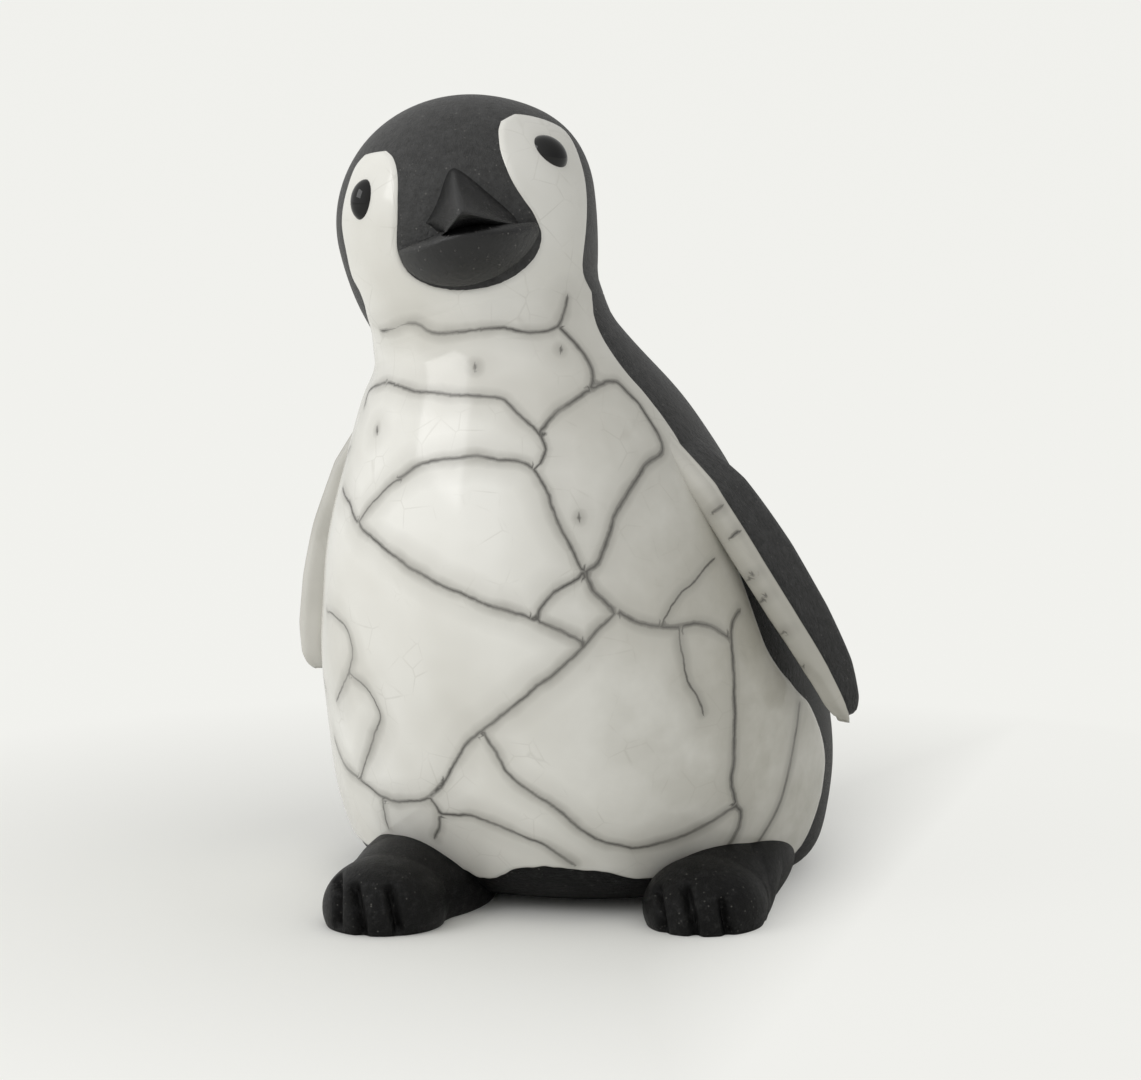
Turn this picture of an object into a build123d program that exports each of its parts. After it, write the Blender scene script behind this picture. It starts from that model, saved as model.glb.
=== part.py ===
from build123d import *
import os
from math import cos, radians, sin

# A penguin chick figurine of smoke-fired clay, about 10 cm tall.
# It faces -Y, its left side is +X, and it stands on the plane z = 0. Sizes are in millimetres.

os.makedirs("parts", exist_ok=True)

# Body: a pear-shaped pot that leans forward and to its right side up to the neck
body_half_width = 32.5
body_half_depth = 35.5
neck_height = 73.8
neck_lean_side = 7.9
neck_lean_front = 17.3
neck_radius = 14.0
clay_wall = 4.6
overrun = 4.0
vent_radius = 4.0
vent_back = 5.8
glaze_thickness = 0.4
quarters = 4
quarter_turn = 90

# Head: an egg that stands on the neck, turned and tilted as a whole
head_radius = 16.55
head_top_height = 15.9
head_lower_height = 25.0
head_drop = 13.26
head_wall = 4.2
egg_steps = 12
head_turn = 14
head_nod = 8
head_tilt = 13.8

# Beak, in the head's own frame: forward is -Y, its middle line is x = 0
beak_half_width = 8.6
beak_ridge_height = 6.4
beak_corner_drop = 2.8
beak_reach = 25.0
beak_root = 11.0
beak_tip_half_width = 0.9
beak_tip_height = 1.4
beak_tip_drop = 0.9
chin_half_width = 9.2
chin_reach = 9.2
chin_half_height = 5.7
chin_drop = 2.9
mouth_rise = 7.0

# Eyes: oval beads set into the glaze
eye_azimuth = 55
eye_height = 5.9
eye_half_length = 2.9
eye_half_width = 2.0
eye_half_depth = 1.8
eye_sink = 0.5
eye_slant_left = 42
eye_slant_right = 26

# Flippers: flat paddles joined at the shoulder and free below
flipper_thickness = 3.9
flipper_width = 13.0
flipper_corner_share = 0.34
left_flipper_azimuth = 77
right_flipper_azimuth = 93
left_flipper_tip_height = 24.3
right_flipper_tip_height = 26.2
flipper_root_drop = 10.8
flipper_root_height = neck_height - flipper_root_drop
left_flipper_spread = 6.5
right_flipper_spread = 3.2
flipper_root_sink = 3.4

# Feet: rounded toes, a long sole and an instep under the belly, with three grooves between four toes
toe_half_width = 7.8
toe_half_length = 8.5
toe_half_height = 6.2
sole_half_width = 7.9
sole_half_length = 18.5
sole_half_height = 7.0
instep_half_width = 9.4
instep_half_length = 15.0
instep_half_height = 7.2
instep_back = 22.0
foot_centre_height = 2.2
left_toe_inset = 9.7
left_toe_short = 0.5
right_toe_inset = 14.4
right_toe_ahead = 9.0
left_toe_tip_side = body_half_width - left_toe_inset
left_toe_tip_front = body_half_depth - left_toe_short
right_toe_tip_side = body_half_width - right_toe_inset
right_toe_tip_front = body_half_depth + right_toe_ahead
left_foot_heading = -4
right_foot_heading = 3
toe_groove_width = 1.2
toe_groove_depth = 1.1
toe_groove_top = 7.0
toe_groove_fan = 27

# Tail: a pinched point low on the back
tail_height = 9.5
tail_half_width = 7.5
tail_half_height = 4.6
tail_length = 5.0
tail_root_sink = 8.5
tail_reach = body_half_depth + tail_length
tail_root = body_half_depth - tail_root_sink
tail_rise = 1.5

# Glaze front: turned a little to the figure's right, like the flippers
glaze_turn = -9
glaze_front_bottom = 6.8
far_share = 3
far = far_share * body_half_depth

# Each row gives one level of the body: height as a share of the neck height, half width and
# half depth as shares of the body's, and how far it leans to the side and to the front
body_section_shares = (
    (0.000, 0.71, 0.66, 0.00, -0.35),
    (0.040, 0.91, 0.84, 0.00, -0.18),
    (0.108, 0.97, 0.92, 0.00, -0.08),
    (0.200, 1.00, 0.99, 0.00, 0.00),
    (0.300, 1.00, 1.00, 0.02, 0.12),
    (0.405, 0.98, 0.985, 0.08, 0.29),
    (0.515, 0.92, 0.945, 0.19, 0.46),
    (0.625, 0.85, 0.88, 0.30, 0.60),
    (0.730, 0.765, 0.785, 0.38, 0.70),
    (0.815, 0.68, 0.695, 0.49, 0.76),
    (0.895, 0.585, 0.58, 0.61, 0.84),
)

head_place = (
    Location((-neck_lean_side, -neck_lean_front, neck_height))
    * Location((0, 0, 0), (0, 0, head_turn))
    * Location((0, 0, 0), (-head_nod, 0, 0))
    * Location((0, 0, 0), (0, -head_tilt, 0))
    * Location((0, 0, head_drop))
)
neck_place = head_place * Location((0, 0, -head_drop)) * Location((0, 0, 0), (0, 0, -head_turn))


def oval(plane, half_width, half_depth):
    """An ellipse drawn as four arcs, so that a skin drawn over several has no seam in one place."""
    with BuildSketch(plane) as section:
        with BuildLine():
            for quarter in range(quarters):
                start = quarter_turn * quarter
                EllipticalCenterArc((0, 0), half_width, half_depth, start, arc_size=quarter_turn)
        make_face()
    return section.sketch


def body_form(inset, first=0):
    """The body's surface moved inwards by an inset. It runs on past the floor and past the neck."""
    sections = []
    for height, width, depth, side, front in body_section_shares[first:]:
        middle = Plane((-side * neck_lean_side, -front * neck_lean_front, height * neck_height))
        half_width = width * body_half_width - inset
        half_depth = depth * body_half_depth - inset
        if not sections:
            start = middle.offset(-overrun)
            if first > 0:
                start = Plane((middle.origin.X, middle.origin.Y, inset))
            sections.append(oval(start, half_width - overrun, half_depth - overrun))
        sections.append(oval(middle, half_width, half_depth))
    neck = Plane(neck_place)
    sections.append(oval(neck, neck_radius - inset, neck_radius - inset))
    sections.append(oval(neck.offset(overrun), neck_radius - inset, neck_radius - inset))
    with BuildPart() as form:
        loft(sections)
    return form.part


def head_form(inset):
    """The head's egg moved inwards by an inset, in the head's own frame. It runs on past the neck."""
    radius, top, low = (size - inset for size in (head_radius, head_top_height, head_lower_height))
    outline = []
    for step in range(egg_steps + 1):
        angle = radians(quarter_turn - 2 * quarter_turn * step / egg_steps)
        outline.append((radius * cos(angle), (top if angle > 0 else low) * sin(angle)))
    with BuildPart() as form:
        with BuildSketch(Plane.XZ):
            with BuildLine():
                side = Spline(outline, tangents=((1, 0), (-1, 0)))
                Line(side @ 1, side @ 0)
            make_face()
        revolve(axis=Axis.Z)
    return form.part


def lump(half_x, half_y, half_z):
    """A rounded lump with three half sizes, around the origin."""
    with BuildPart() as form:
        Sphere(half_x)
        scale(by=(1, half_y / half_x, half_z / half_x))
    return form.part


# Body clay form, head clay form and the glaze fronts that are brushed over them
body_outer = body_form(0)
body_under_glaze = body_form(glaze_thickness)
body_hollow = body_form(clay_wall, 2)
head_outer = head_form(0)
head_under_glaze = head_form(glaze_thickness)
head_hollow = head_form(head_wall)

# Side view of the glazed front of the body: how far back it reaches at each height
glaze_edge_shares = (
    (0.12, 0.062),
    (0.18, 0.136),
    (0.12, 0.203),
    (-0.02, 0.298),
    (-0.25, 0.352),
    (-0.36, 0.407),
    (-0.42, 0.488),
    (-0.46, 0.62),
    (-0.48, 0.77),
    (-0.57, 0.84),
    (-0.60, 0.94),
    (-0.66, 1.35),
)
with BuildPart() as body_glaze_region:
    with BuildSketch(Plane.YZ.rotated((0, 0, glaze_turn))):
        with BuildLine():
            edge = Spline(
                [(back * body_half_depth, up * neck_height) for back, up in glaze_edge_shares]
            )
            Polyline(edge @ 1, (-far, far), (-far, glaze_front_bottom), edge @ 0)
        make_face()
    extrude(amount=far, both=True)

# Front view of the bare clay mask, and side view of the two cheeks, as shares of the head's radius
mask_edge_shares = (
    (0.45, 1.20),
    (0.43, 0.71),
    (0.40, 0.36),
    (0.44, 0.08),
    (0.55, -0.12),
    (0.55, -0.27),
    (0.38, -0.42),
    (0.15, -0.50),
)
cheek_edge_shares = (
    (-1.30, 0.71),
    (-0.56, 0.71),
    (-0.33, 0.70),
    (-0.09, 0.62),
    (0.03, 0.48),
    (-0.07, 0.24),
    (-0.27, -0.08),
    (-0.40, -0.45),
    (-0.42, -0.81),
    (-0.42, -1.20),
)
with BuildPart() as cheek_region:
    with BuildSketch(Plane.YZ):
        with BuildLine():
            edge = Spline([(back * head_radius, up * head_radius) for back, up in cheek_edge_shares])
            Polyline(edge @ 1, (-far, -far), (-far, head_radius), edge @ 0)
        make_face()
    extrude(amount=far, both=True)
    with BuildSketch(Plane.XZ):
        with BuildLine():
            right_side = [(x * head_radius, z * head_radius) for x, z in mask_edge_shares]
            left_side = [(-x, z) for x, z in reversed(right_side)]
            edge = Spline(right_side + left_side)
            Line(edge @ 1, edge @ 0)
        make_face()
    extrude(amount=far, mode=Mode.SUBTRACT)


def body_level(height):
    """Half width, half depth and middle of the body at a height, between its two nearest levels."""
    share = height / neck_height
    for low, high in zip(body_section_shares, body_section_shares[1:]):
        if share <= high[0]:
            break
    part_way = (share - low[0]) / (high[0] - low[0])
    row = [a + (b - a) * part_way for a, b in zip(low, high)]
    return (
        row[1] * body_half_width,
        row[2] * body_half_depth,
        -row[3] * neck_lean_side,
        -row[4] * neck_lean_front,
    )


# Each row gives one level of a flipper, from the root to the tip: its place along the way,
# its width and thickness as shares of the full ones, and how far it stands off
flipper_section_shares = (
    (0.00, 0.60, 0.80, 0.00),
    (0.22, 0.92, 1.00, 0.40),
    (0.44, 1.00, 1.00, 0.60),
    (0.64, 0.93, 0.98, 0.76),
    (0.82, 0.74, 0.88, 0.89),
    (0.94, 0.48, 0.70, 0.97),
    (1.00, 0.22, 0.48, 1.00),
)


def flipper_levels(side, azimuth, tip_height, spread):
    """The plane, width and thickness of each level of a paddle that hangs along one flank."""
    turn = radians(side * azimuth)
    outward = Vector(sin(turn), -cos(turn), 0)
    levels = []
    for along, width, thick, off in flipper_section_shares:
        height = flipper_root_height + (tip_height - flipper_root_height) * along
        half_width, half_depth, middle_x, middle_y = body_level(height)
        surface = Vector(middle_x + half_width * outward.X, middle_y + half_depth * outward.Y, height)
        middle = surface + outward * ((flipper_root_sink + spread) * off - flipper_root_sink)
        plane = Plane(middle, x_dir=outward, z_dir=(0, 0, 1))
        levels.append((plane, flipper_width * width, flipper_thickness * thick))
    return levels


def longer(levels):
    """The same levels with one more beyond each end."""
    above, below = levels[0], levels[-1]
    return (
        [(above[0].offset(overrun), *above[1:])]
        + levels
        + [(below[0].offset(-overrun), *below[1:])]
    )


def flipper_form(levels, inset):
    """A paddle moved inwards by an inset."""
    with BuildPart() as form:
        for plane, breadth, depth in levels:
            with BuildSketch(plane):
                thin = depth - 2 * inset
                RectangleRounded(thin, breadth - 2 * inset, thin * flipper_corner_share)
        loft()
    return form.part


def flipper_glaze_region(levels, side):
    """What the brush reached of a paddle: its inner face and its front edge."""
    with BuildPart() as region:
        for plane, breadth, depth in levels:
            with BuildSketch(plane):
                with Locations((depth / 2 - glaze_thickness, -side * flipper_width / 2)):
                    Rectangle(
                        flipper_width, 2 * flipper_width, align=(Align.MAX, Align.CENTER)
                    )
        loft(ruled=True)
    return region.part


# Eyes: one bead each, with its length slanted towards the beak at the top
def eye_bead(side, slant):
    """An oval bead whose middle lies just under the head's surface, in the head's own frame."""
    ring = head_radius * (1 - (eye_height / head_top_height) ** 2) ** 0.5
    across = Vector(cos(radians(eye_azimuth)) * side, sin(radians(eye_azimuth)), 0)
    point = Vector(
        ring * sin(radians(eye_azimuth)) * side, -ring * cos(radians(eye_azimuth)), eye_height
    )
    normal = Vector(
        point.X / head_radius**2, point.Y / head_radius**2, point.Z / head_top_height**2
    ).normalized()
    rise = Vector(0, 0, 1) * cos(radians(slant)) - across * sin(radians(slant))
    middle = point - normal * eye_sink
    bead = lump(eye_half_length, eye_half_width, eye_half_depth)
    return bead.moved(Plane(middle, x_dir=rise, z_dir=normal).location)


left_bead = eye_bead(1, eye_slant_left)
right_bead = eye_bead(-1, eye_slant_right)

# Beak halves, in the head's own frame, before the head is cut out of them
with BuildPart() as mouth_cut:
    with Locations(Location((0, -beak_root, -beak_corner_drop), (-mouth_rise, 0, 0))):
        Box(far, far, far, align=(Align.CENTER, Align.CENTER, Align.MIN))

beak_way_shares = (0.0, 0.40, 0.75, 1.0)
beak_size_shares = (1.0, 0.76, 0.36, 0.0)
beak_shoulder_share = 0.66
with BuildPart() as upper_beak_form:
    for way, size in zip(beak_way_shares, beak_size_shares):
        half = beak_tip_half_width + (beak_half_width - beak_tip_half_width) * size
        rise = beak_tip_height + (beak_ridge_height + beak_corner_drop - beak_tip_height) * size
        low = -beak_tip_drop - (beak_corner_drop - beak_tip_drop) * size - beak_tip_height * (1 - size)
        forward = beak_root + (beak_reach - beak_root) * way
        with BuildSketch(Plane.XZ.offset(forward)):
            with BuildLine():
                Spline((-half, low), (-half / 2, low + rise * beak_shoulder_share), (0, low + rise))
                Spline((0, low + rise), (half / 2, low + rise * beak_shoulder_share), (half, low))
                Line((half, low), (-half, low))
            make_face()
    loft()

chin_lump = lump(chin_half_width, chin_reach, chin_half_height)
chin_form = Location((0, -beak_root - beak_corner_drop, -chin_drop)) * chin_lump


# Feet: three rounded lumps each, pressed flat underneath, with the grooves between the toes
def foot_lumps(inset):
    """The lumps of a foot moved inwards by an inset, with the toes' tip at the origin."""
    sizes = (
        (toe_half_width, toe_half_length, toe_half_height, toe_half_length),
        (sole_half_width, sole_half_length, sole_half_height, sole_half_length),
        (instep_half_width, instep_half_length, instep_half_height, instep_back),
    )
    with BuildPart() as form:
        for half_width, half_length, half_height, behind in sizes:
            one = lump(half_width - inset, half_length - inset, half_height - inset)
            add(Location((0, behind, foot_centre_height)) * one)
    return form.part


def foot_form(side, tip_side, tip_front, heading):
    """A foot whose toes end at a given place, with its grooves pressed in."""
    place = Location((side * tip_side, -tip_front, 0), (0, 0, side * heading))
    with BuildPart() as grooves:
        for step in (-1, 0, 1):
            with Locations(Location((0, toe_half_width, 0), (0, 0, step * toe_groove_fan))):
                Box(
                    toe_groove_width,
                    2 * toe_half_width,
                    2 * toe_groove_top,
                    align=(Align.CENTER, Align.MAX, Align.CENTER),
                )
        add(foot_lumps(toe_groove_depth), mode=Mode.SUBTRACT)
    with BuildPart() as form:
        add(foot_lumps(0))
        add(grooves.part, mode=Mode.SUBTRACT)
        split(bisect_by=Plane.XY, keep=Keep.TOP)
    return form.part.moved(place)


left_foot_form = foot_form(1, left_toe_tip_side, left_toe_tip_front, left_foot_heading)
right_foot_form = foot_form(-1, right_toe_tip_side, right_toe_tip_front, right_foot_heading)

# Body: hollow clay pot with a vent hole in its base, and the glaze on its front
with BuildPart() as body_glaze:
    add(body_outer)
    add(body_glaze_region.part, mode=Mode.INTERSECT)
    add(body_under_glaze, mode=Mode.SUBTRACT)
    split(bisect_by=Plane(neck_place), keep=Keep.BOTTOM)
    add(left_foot_form, mode=Mode.SUBTRACT)
    add(right_foot_form, mode=Mode.SUBTRACT)

with BuildPart() as body:
    add(body_outer)
    split(bisect_by=Plane(neck_place), keep=Keep.BOTTOM)
    split(bisect_by=Plane.XY, keep=Keep.TOP)
    add(body_hollow, mode=Mode.SUBTRACT)
    with Locations((0, vent_back, 0)):
        Cylinder(vent_radius, 2 * overrun + clay_wall, mode=Mode.SUBTRACT)
    add(body_glaze.part, mode=Mode.SUBTRACT)

# Head: hollow clay egg, open at the neck, with its two cheeks glazed
with BuildPart() as head_glaze:
    add(head_outer)
    add(cheek_region.part, mode=Mode.INTERSECT)
    add(head_under_glaze, mode=Mode.SUBTRACT)
    split(bisect_by=Plane((0, 0, -head_drop)), keep=Keep.TOP)
    add(left_bead, mode=Mode.SUBTRACT)
    add(right_bead, mode=Mode.SUBTRACT)
    add(chin_form, mode=Mode.SUBTRACT)
    add(upper_beak_form.part, mode=Mode.SUBTRACT)

with BuildPart() as head:
    add(head_outer)
    split(bisect_by=Plane((0, 0, -head_drop)), keep=Keep.TOP)
    add(head_hollow, mode=Mode.SUBTRACT)
    add(head_glaze.part, mode=Mode.SUBTRACT)
    add(left_bead, mode=Mode.SUBTRACT)
    add(right_bead, mode=Mode.SUBTRACT)

with BuildPart() as upper_beak:
    add(upper_beak_form.part)
    add(head_outer, mode=Mode.SUBTRACT)

with BuildPart() as lower_beak:
    add(chin_form)
    add(mouth_cut.part, mode=Mode.SUBTRACT)
    add(head_outer, mode=Mode.SUBTRACT)
    add(upper_beak_form.part, mode=Mode.SUBTRACT)

with BuildPart() as left_eye:
    add(left_bead)

with BuildPart() as right_eye:
    add(right_bead)


# Flippers: bare clay outside, glazed on the inner face and front edge
left_levels = flipper_levels(
    1, left_flipper_azimuth, left_flipper_tip_height, left_flipper_spread
)
right_levels = flipper_levels(
    -1, right_flipper_azimuth, right_flipper_tip_height, right_flipper_spread
)

with BuildPart() as left_paddle:
    add(flipper_form(left_levels, 0))
    add(body_outer, mode=Mode.SUBTRACT)

with BuildPart() as left_flipper_glaze:
    add(left_paddle.part)
    add(flipper_form(longer(left_levels), glaze_thickness), mode=Mode.SUBTRACT)
    add(flipper_glaze_region(longer(left_levels), 1), mode=Mode.INTERSECT)

with BuildPart() as left_flipper:
    add(left_paddle.part)
    add(left_flipper_glaze.part, mode=Mode.SUBTRACT)

with BuildPart() as right_paddle:
    add(flipper_form(right_levels, 0))
    add(body_outer, mode=Mode.SUBTRACT)

with BuildPart() as right_flipper_glaze:
    add(right_paddle.part)
    add(flipper_form(longer(right_levels), glaze_thickness), mode=Mode.SUBTRACT)
    add(flipper_glaze_region(longer(right_levels), -1), mode=Mode.INTERSECT)

with BuildPart() as right_flipper:
    add(right_paddle.part)
    add(right_flipper_glaze.part, mode=Mode.SUBTRACT)

# Feet, and the tail with its sections along the way and their sizes
tail_way_shares = (0.0, 0.5, 0.85, 1.0)
tail_size_shares = (1.0, 0.86, 0.52, 0.24)
with BuildPart() as left_foot:
    add(left_foot_form)
    add(body_outer, mode=Mode.SUBTRACT)

with BuildPart() as right_foot:
    add(right_foot_form)
    add(body_outer, mode=Mode.SUBTRACT)

with BuildPart() as tail:
    for along, size in zip(tail_way_shares, tail_size_shares):
        with BuildSketch(Plane.XZ.offset(-tail_root - (tail_reach - tail_root) * along)):
            with Locations((0, tail_height + tail_rise * along)):
                Ellipse(tail_half_width * size, tail_half_height * size)
    loft()
    add(body_outer, mode=Mode.SUBTRACT)

# Every piece in its own file, with the middle of the whole figure's footprint at the origin
head_pieces = dict(
    head=head,
    head_glaze=head_glaze,
    upper_beak=upper_beak,
    lower_beak=lower_beak,
    left_eye=left_eye,
    right_eye=right_eye,
)
body_pieces = dict(
    body=body,
    body_glaze=body_glaze,
    left_flipper=left_flipper,
    left_flipper_glaze=left_flipper_glaze,
    right_flipper=right_flipper,
    right_flipper_glaze=right_flipper_glaze,
    left_foot=left_foot,
    right_foot=right_foot,
    tail=tail,
)
pieces = {name: piece.part.moved(head_place) for name, piece in head_pieces.items()}
pieces.update({name: piece.part for name, piece in body_pieces.items()})
for name, piece in pieces.items():
    pieces[name] = piece.solids().sort_by(SortBy.VOLUME)[-1]
boxes = [piece.bounding_box() for piece in pieces.values()]
middle_x = (min(box.min.X for box in boxes) + max(box.max.X for box in boxes)) / 2
middle_y = (min(box.min.Y for box in boxes) + max(box.max.Y for box in boxes)) / 2
centred = Location((-middle_x, -middle_y, 0))
for name, piece in pieces.items():
    placed = piece.moved(centred)
    placed.label = name
    export_step(placed, f"parts/{name}.step")
    solids = placed.solids()
    print(name, len(solids), [round(solid.volume, 2) for solid in solids])
print("shift", centred.position, "top", max(box.max.Z for box in boxes))
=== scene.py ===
# %% [markdown]
# A penguin chick of smoke-fired clay, about 10 cm tall. Its front, its cheeks and the inner sides of its
# flippers carry a white crackle glaze, and the rest is bare clay that the smoke has blackened. This file
# lays smooth, slightly uneven pieces over the plain solids of the frame, gives them their clay and glaze,
# and lights them as on a table by a window. Every length is in metres, with MM for a millimetre.

# %% The frame and the tools
import bpy
import numpy as np
from math import atan2, cos, pi, radians, sin
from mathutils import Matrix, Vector, noise
from mathutils.bvhtree import BVHTree
from mathutils.kdtree import KDTree


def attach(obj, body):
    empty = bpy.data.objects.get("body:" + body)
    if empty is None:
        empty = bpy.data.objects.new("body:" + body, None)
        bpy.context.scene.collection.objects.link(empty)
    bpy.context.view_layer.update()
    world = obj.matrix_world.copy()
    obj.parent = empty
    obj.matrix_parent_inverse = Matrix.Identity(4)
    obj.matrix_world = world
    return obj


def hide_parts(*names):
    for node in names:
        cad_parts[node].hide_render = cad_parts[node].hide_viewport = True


MM = 0.001
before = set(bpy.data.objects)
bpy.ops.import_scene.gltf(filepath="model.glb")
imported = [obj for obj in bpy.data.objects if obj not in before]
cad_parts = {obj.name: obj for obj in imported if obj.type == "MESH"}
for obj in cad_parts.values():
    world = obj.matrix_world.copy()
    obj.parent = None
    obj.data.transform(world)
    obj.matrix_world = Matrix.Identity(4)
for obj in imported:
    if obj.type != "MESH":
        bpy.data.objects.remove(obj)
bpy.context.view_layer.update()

# %% [markdown]
# The camera comes first, because the glaze edges and the cracks are read in the photograph. They are kept
# as places in its picture, and a ray from the camera through such a place finds the clay. The camera stands
# 0.6 m away, a little to the figure's left and a little above it. A long lens keeps the shape undistorted.
# FIGURE_PLACE is where the figure's own middle stands, because the frame centres its whole footprint.

# %% Camera
PHOTO_WIDTH, PHOTO_HEIGHT = 1141, 1080
CAMERA_TURN, CAMERA_RISE, CAMERA_DISTANCE = radians(14), radians(8), 600 * MM
PIXEL = 0.1302 * MM
FIGURE_PLACE = Vector((-0.919, 2.003, 0)) * MM
AIM = FIGURE_PLACE + Vector((0, 0, 50)) * MM
AIM_PIXEL = (585, 492)

to_camera = Vector((
    sin(CAMERA_TURN) * cos(CAMERA_RISE), -cos(CAMERA_TURN) * cos(CAMERA_RISE), sin(CAMERA_RISE)
))
picture_right = Vector((cos(CAMERA_TURN), sin(CAMERA_TURN), 0))
picture_up = to_camera.cross(picture_right)
eye_point = AIM + to_camera * CAMERA_DISTANCE

bpy.ops.object.select_all(action="DESELECT")
bpy.ops.object.camera_add(location=eye_point, rotation=(radians(90) - CAMERA_RISE, 0, CAMERA_TURN))
camera = bpy.context.object
camera.name = "camera"
camera.data.sensor_width = 36
camera.data.lens = 36 * CAMERA_DISTANCE / (PHOTO_WIDTH * PIXEL)
camera.data.shift_x = (PHOTO_WIDTH / 2 - AIM_PIXEL[0]) / PHOTO_WIDTH
camera.data.shift_y = (AIM_PIXEL[1] - PHOTO_HEIGHT / 2) / PHOTO_WIDTH
bpy.context.scene.camera = camera
print("camera", [round(x / MM) for x in eye_point], "lens", round(camera.data.lens))

# %% [markdown]
# The frame's solids say where the surface is. Their meshes stay as they are: each surface is copied into a
# search tree, and rays that come in from outside find it. Body and glaze are one skin here, as on the pot.

# %% Skins of the frame, and places in the photograph laid on them
NEAREST_TRIES = 6


def skin(*nodes):
    """A search tree of the outer surface of some of the frame's nodes."""
    points, faces = [], []
    for name in nodes:
        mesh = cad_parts[name].data
        start = len(points)
        points += [v.co.copy() for v in mesh.vertices]
        faces += [[start + i for i in face.vertices] for face in mesh.polygons]
    return BVHTree.FromPolygons(points, faces)


def skin_of(piece):
    """A search tree of a piece's own surface."""
    mesh = piece.data
    return BVHTree.FromPolygons([v.co for v in mesh.vertices], [list(f.vertices) for f in mesh.polygons])


def picture_point(pixel, tree):
    """The point of a skin that is seen at a place in the photograph, or the nearest one to its ray."""
    across = (pixel[0] - AIM_PIXEL[0]) * PIXEL
    up = (AIM_PIXEL[1] - pixel[1]) * PIXEL
    ray = (picture_right * across + picture_up * up - to_camera * CAMERA_DISTANCE).normalized()
    hit = tree.ray_cast(eye_point, ray)[0]
    if hit is None:
        hit = tree.find_nearest(eye_point + ray * CAMERA_DISTANCE)[0]
        for step in range(NEAREST_TRIES):
            along = (hit - eye_point).dot(ray)
            hit = tree.find_nearest(eye_point + ray * along)[0]
    return hit


def smooth_through(points, steps):
    """A smooth line through points, with some steps between each two of them."""
    points = [np.array(p, float) for p in points]
    ends = [2 * points[0] - points[1]] + points + [2 * points[-1] - points[-2]]
    line = []
    for a, b, c, d in zip(ends, ends[1:], ends[2:], ends[3:]):
        for step in range(steps):
            t = step / steps
            line.append(
                b + (c - a) / 2 * t
                + (a - 2.5 * b + 2 * c - d / 2) * t**2
                + (1.5 * b - 1.5 * c + d / 2 - a / 2) * t**3
            )
    return np.array(line + [points[-1]])


def evenly(line, count):
    """The same line as a number of points at even distances, if it doesn't have that many already."""
    line = np.asarray(line, float)
    if len(line) == count:
        return line
    way = np.concatenate([[0], np.cumsum(np.linalg.norm(np.diff(line, axis=0), axis=1))])
    at = np.linspace(0, way[-1], count)
    return np.stack([np.interp(at, way, line[:, k]) for k in range(line.shape[1])], 1)


body_skin = skin("body", "body_glaze")
head_skin = skin("head", "head_glaze")
print("skins of body and head")

# %% [markdown]
# The neck is a tilted ring where the head was luted on. Both skins end on it, so the glaze of the throat
# runs over the joint without a step. Azimuth 0 is the figure's front, and its left side is positive.

# %% Neck ring and the head's own directions
BASE_MIDDLE = FIGURE_PLACE + Vector((0, 3.0, 0)) * MM
HEAD_MIDDLE = FIGURE_PLACE + Vector((-11.4, -16.3, 86.5)) * MM
HEAD_RIGHT = Vector((0.934, 0.267, 0.236)).normalized()
HEAD_UP = Vector((-0.264, 0.073, 0.962)).normalized()
HEAD_FRONT = HEAD_RIGHT.cross(HEAD_UP)
NECK_RADIUS = 14.0 * MM
NECK_DROP = 13.26 * MM
NECK_MIDDLE = HEAD_MIDDLE - HEAD_UP * NECK_DROP
RING_TRIES = 8


def outward(azimuth):
    """The level direction at an azimuth in radians."""
    return Vector((sin(azimuth), -cos(azimuth), 0))


def azimuth_of(level):
    """The azimuth of a level direction."""
    return atan2(level.x, -level.y)


def middle_line(height):
    """The pot's leaning middle line at a height."""
    return BASE_MIDDLE + (NECK_MIDDLE - BASE_MIDDLE) * (height / NECK_MIDDLE.z)


def neck_point(azimuth):
    """The point of the neck ring that lies at an azimuth from the middle line."""
    turn = azimuth
    for step in range(RING_TRIES):
        away = outward(turn)
        away = (away - HEAD_UP * away.dot(HEAD_UP)).normalized()
        point = NECK_MIDDLE + away * NECK_RADIUS
        miss = azimuth - azimuth_of(point - middle_line(point.z))
        turn += (miss + pi) % (2 * pi) - pi
    return point


print("head faces", [round(x, 2) for x in HEAD_FRONT])

# %% [markdown]
# The body is a pear-shaped pot. Its surface is kept as a map: the distance from the middle line at each
# azimuth and each share of the height of the neck ring. Rays measure it, and then it is smoothed a little,
# so that the facets of the frame don't show in the glossy glaze.

# %% Map of the pot
MAP_ROWS, MAP_COLUMNS, MAP_SMOOTHINGS = 150, 180, 6
LOWEST_ROW, RING_SHARE, OUTSIDE = 0.1, 0.99, 90 * MM
rim_points = [neck_point(2 * pi * column / MAP_COLUMNS) for column in range(MAP_COLUMNS)]
rim_heights = np.array([point.z for point in rim_points])
pot_map = np.zeros((MAP_ROWS, MAP_COLUMNS))
for row in range(MAP_ROWS):
    share = max(row, LOWEST_ROW) / (MAP_ROWS - 1)
    for column in range(MAP_COLUMNS):
        away = outward(2 * pi * column / MAP_COLUMNS)
        middle = middle_line(rim_heights[column] * share)
        hit = body_skin.ray_cast(middle + away * OUTSIDE, -away)[0]
        if share > RING_SHARE:
            hit = rim_points[column]
        pot_map[row, column] = (hit - middle).length
for step in range(MAP_SMOOTHINGS):
    ends = pot_map[[0, -1]].copy()
    rows = np.pad(pot_map, ((1, 1), (0, 0)), mode="edge")
    turned = np.roll(pot_map, 1, axis=1) + np.roll(pot_map, -1, axis=1)
    pot_map = pot_map / 2 + (rows[:-2] + rows[2:] + turned) / 8
    pot_map[[0, -1]] = ends
print("pot map", pot_map.shape, "widest", round(pot_map.max() / MM, 1), "mm from the middle line")


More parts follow.
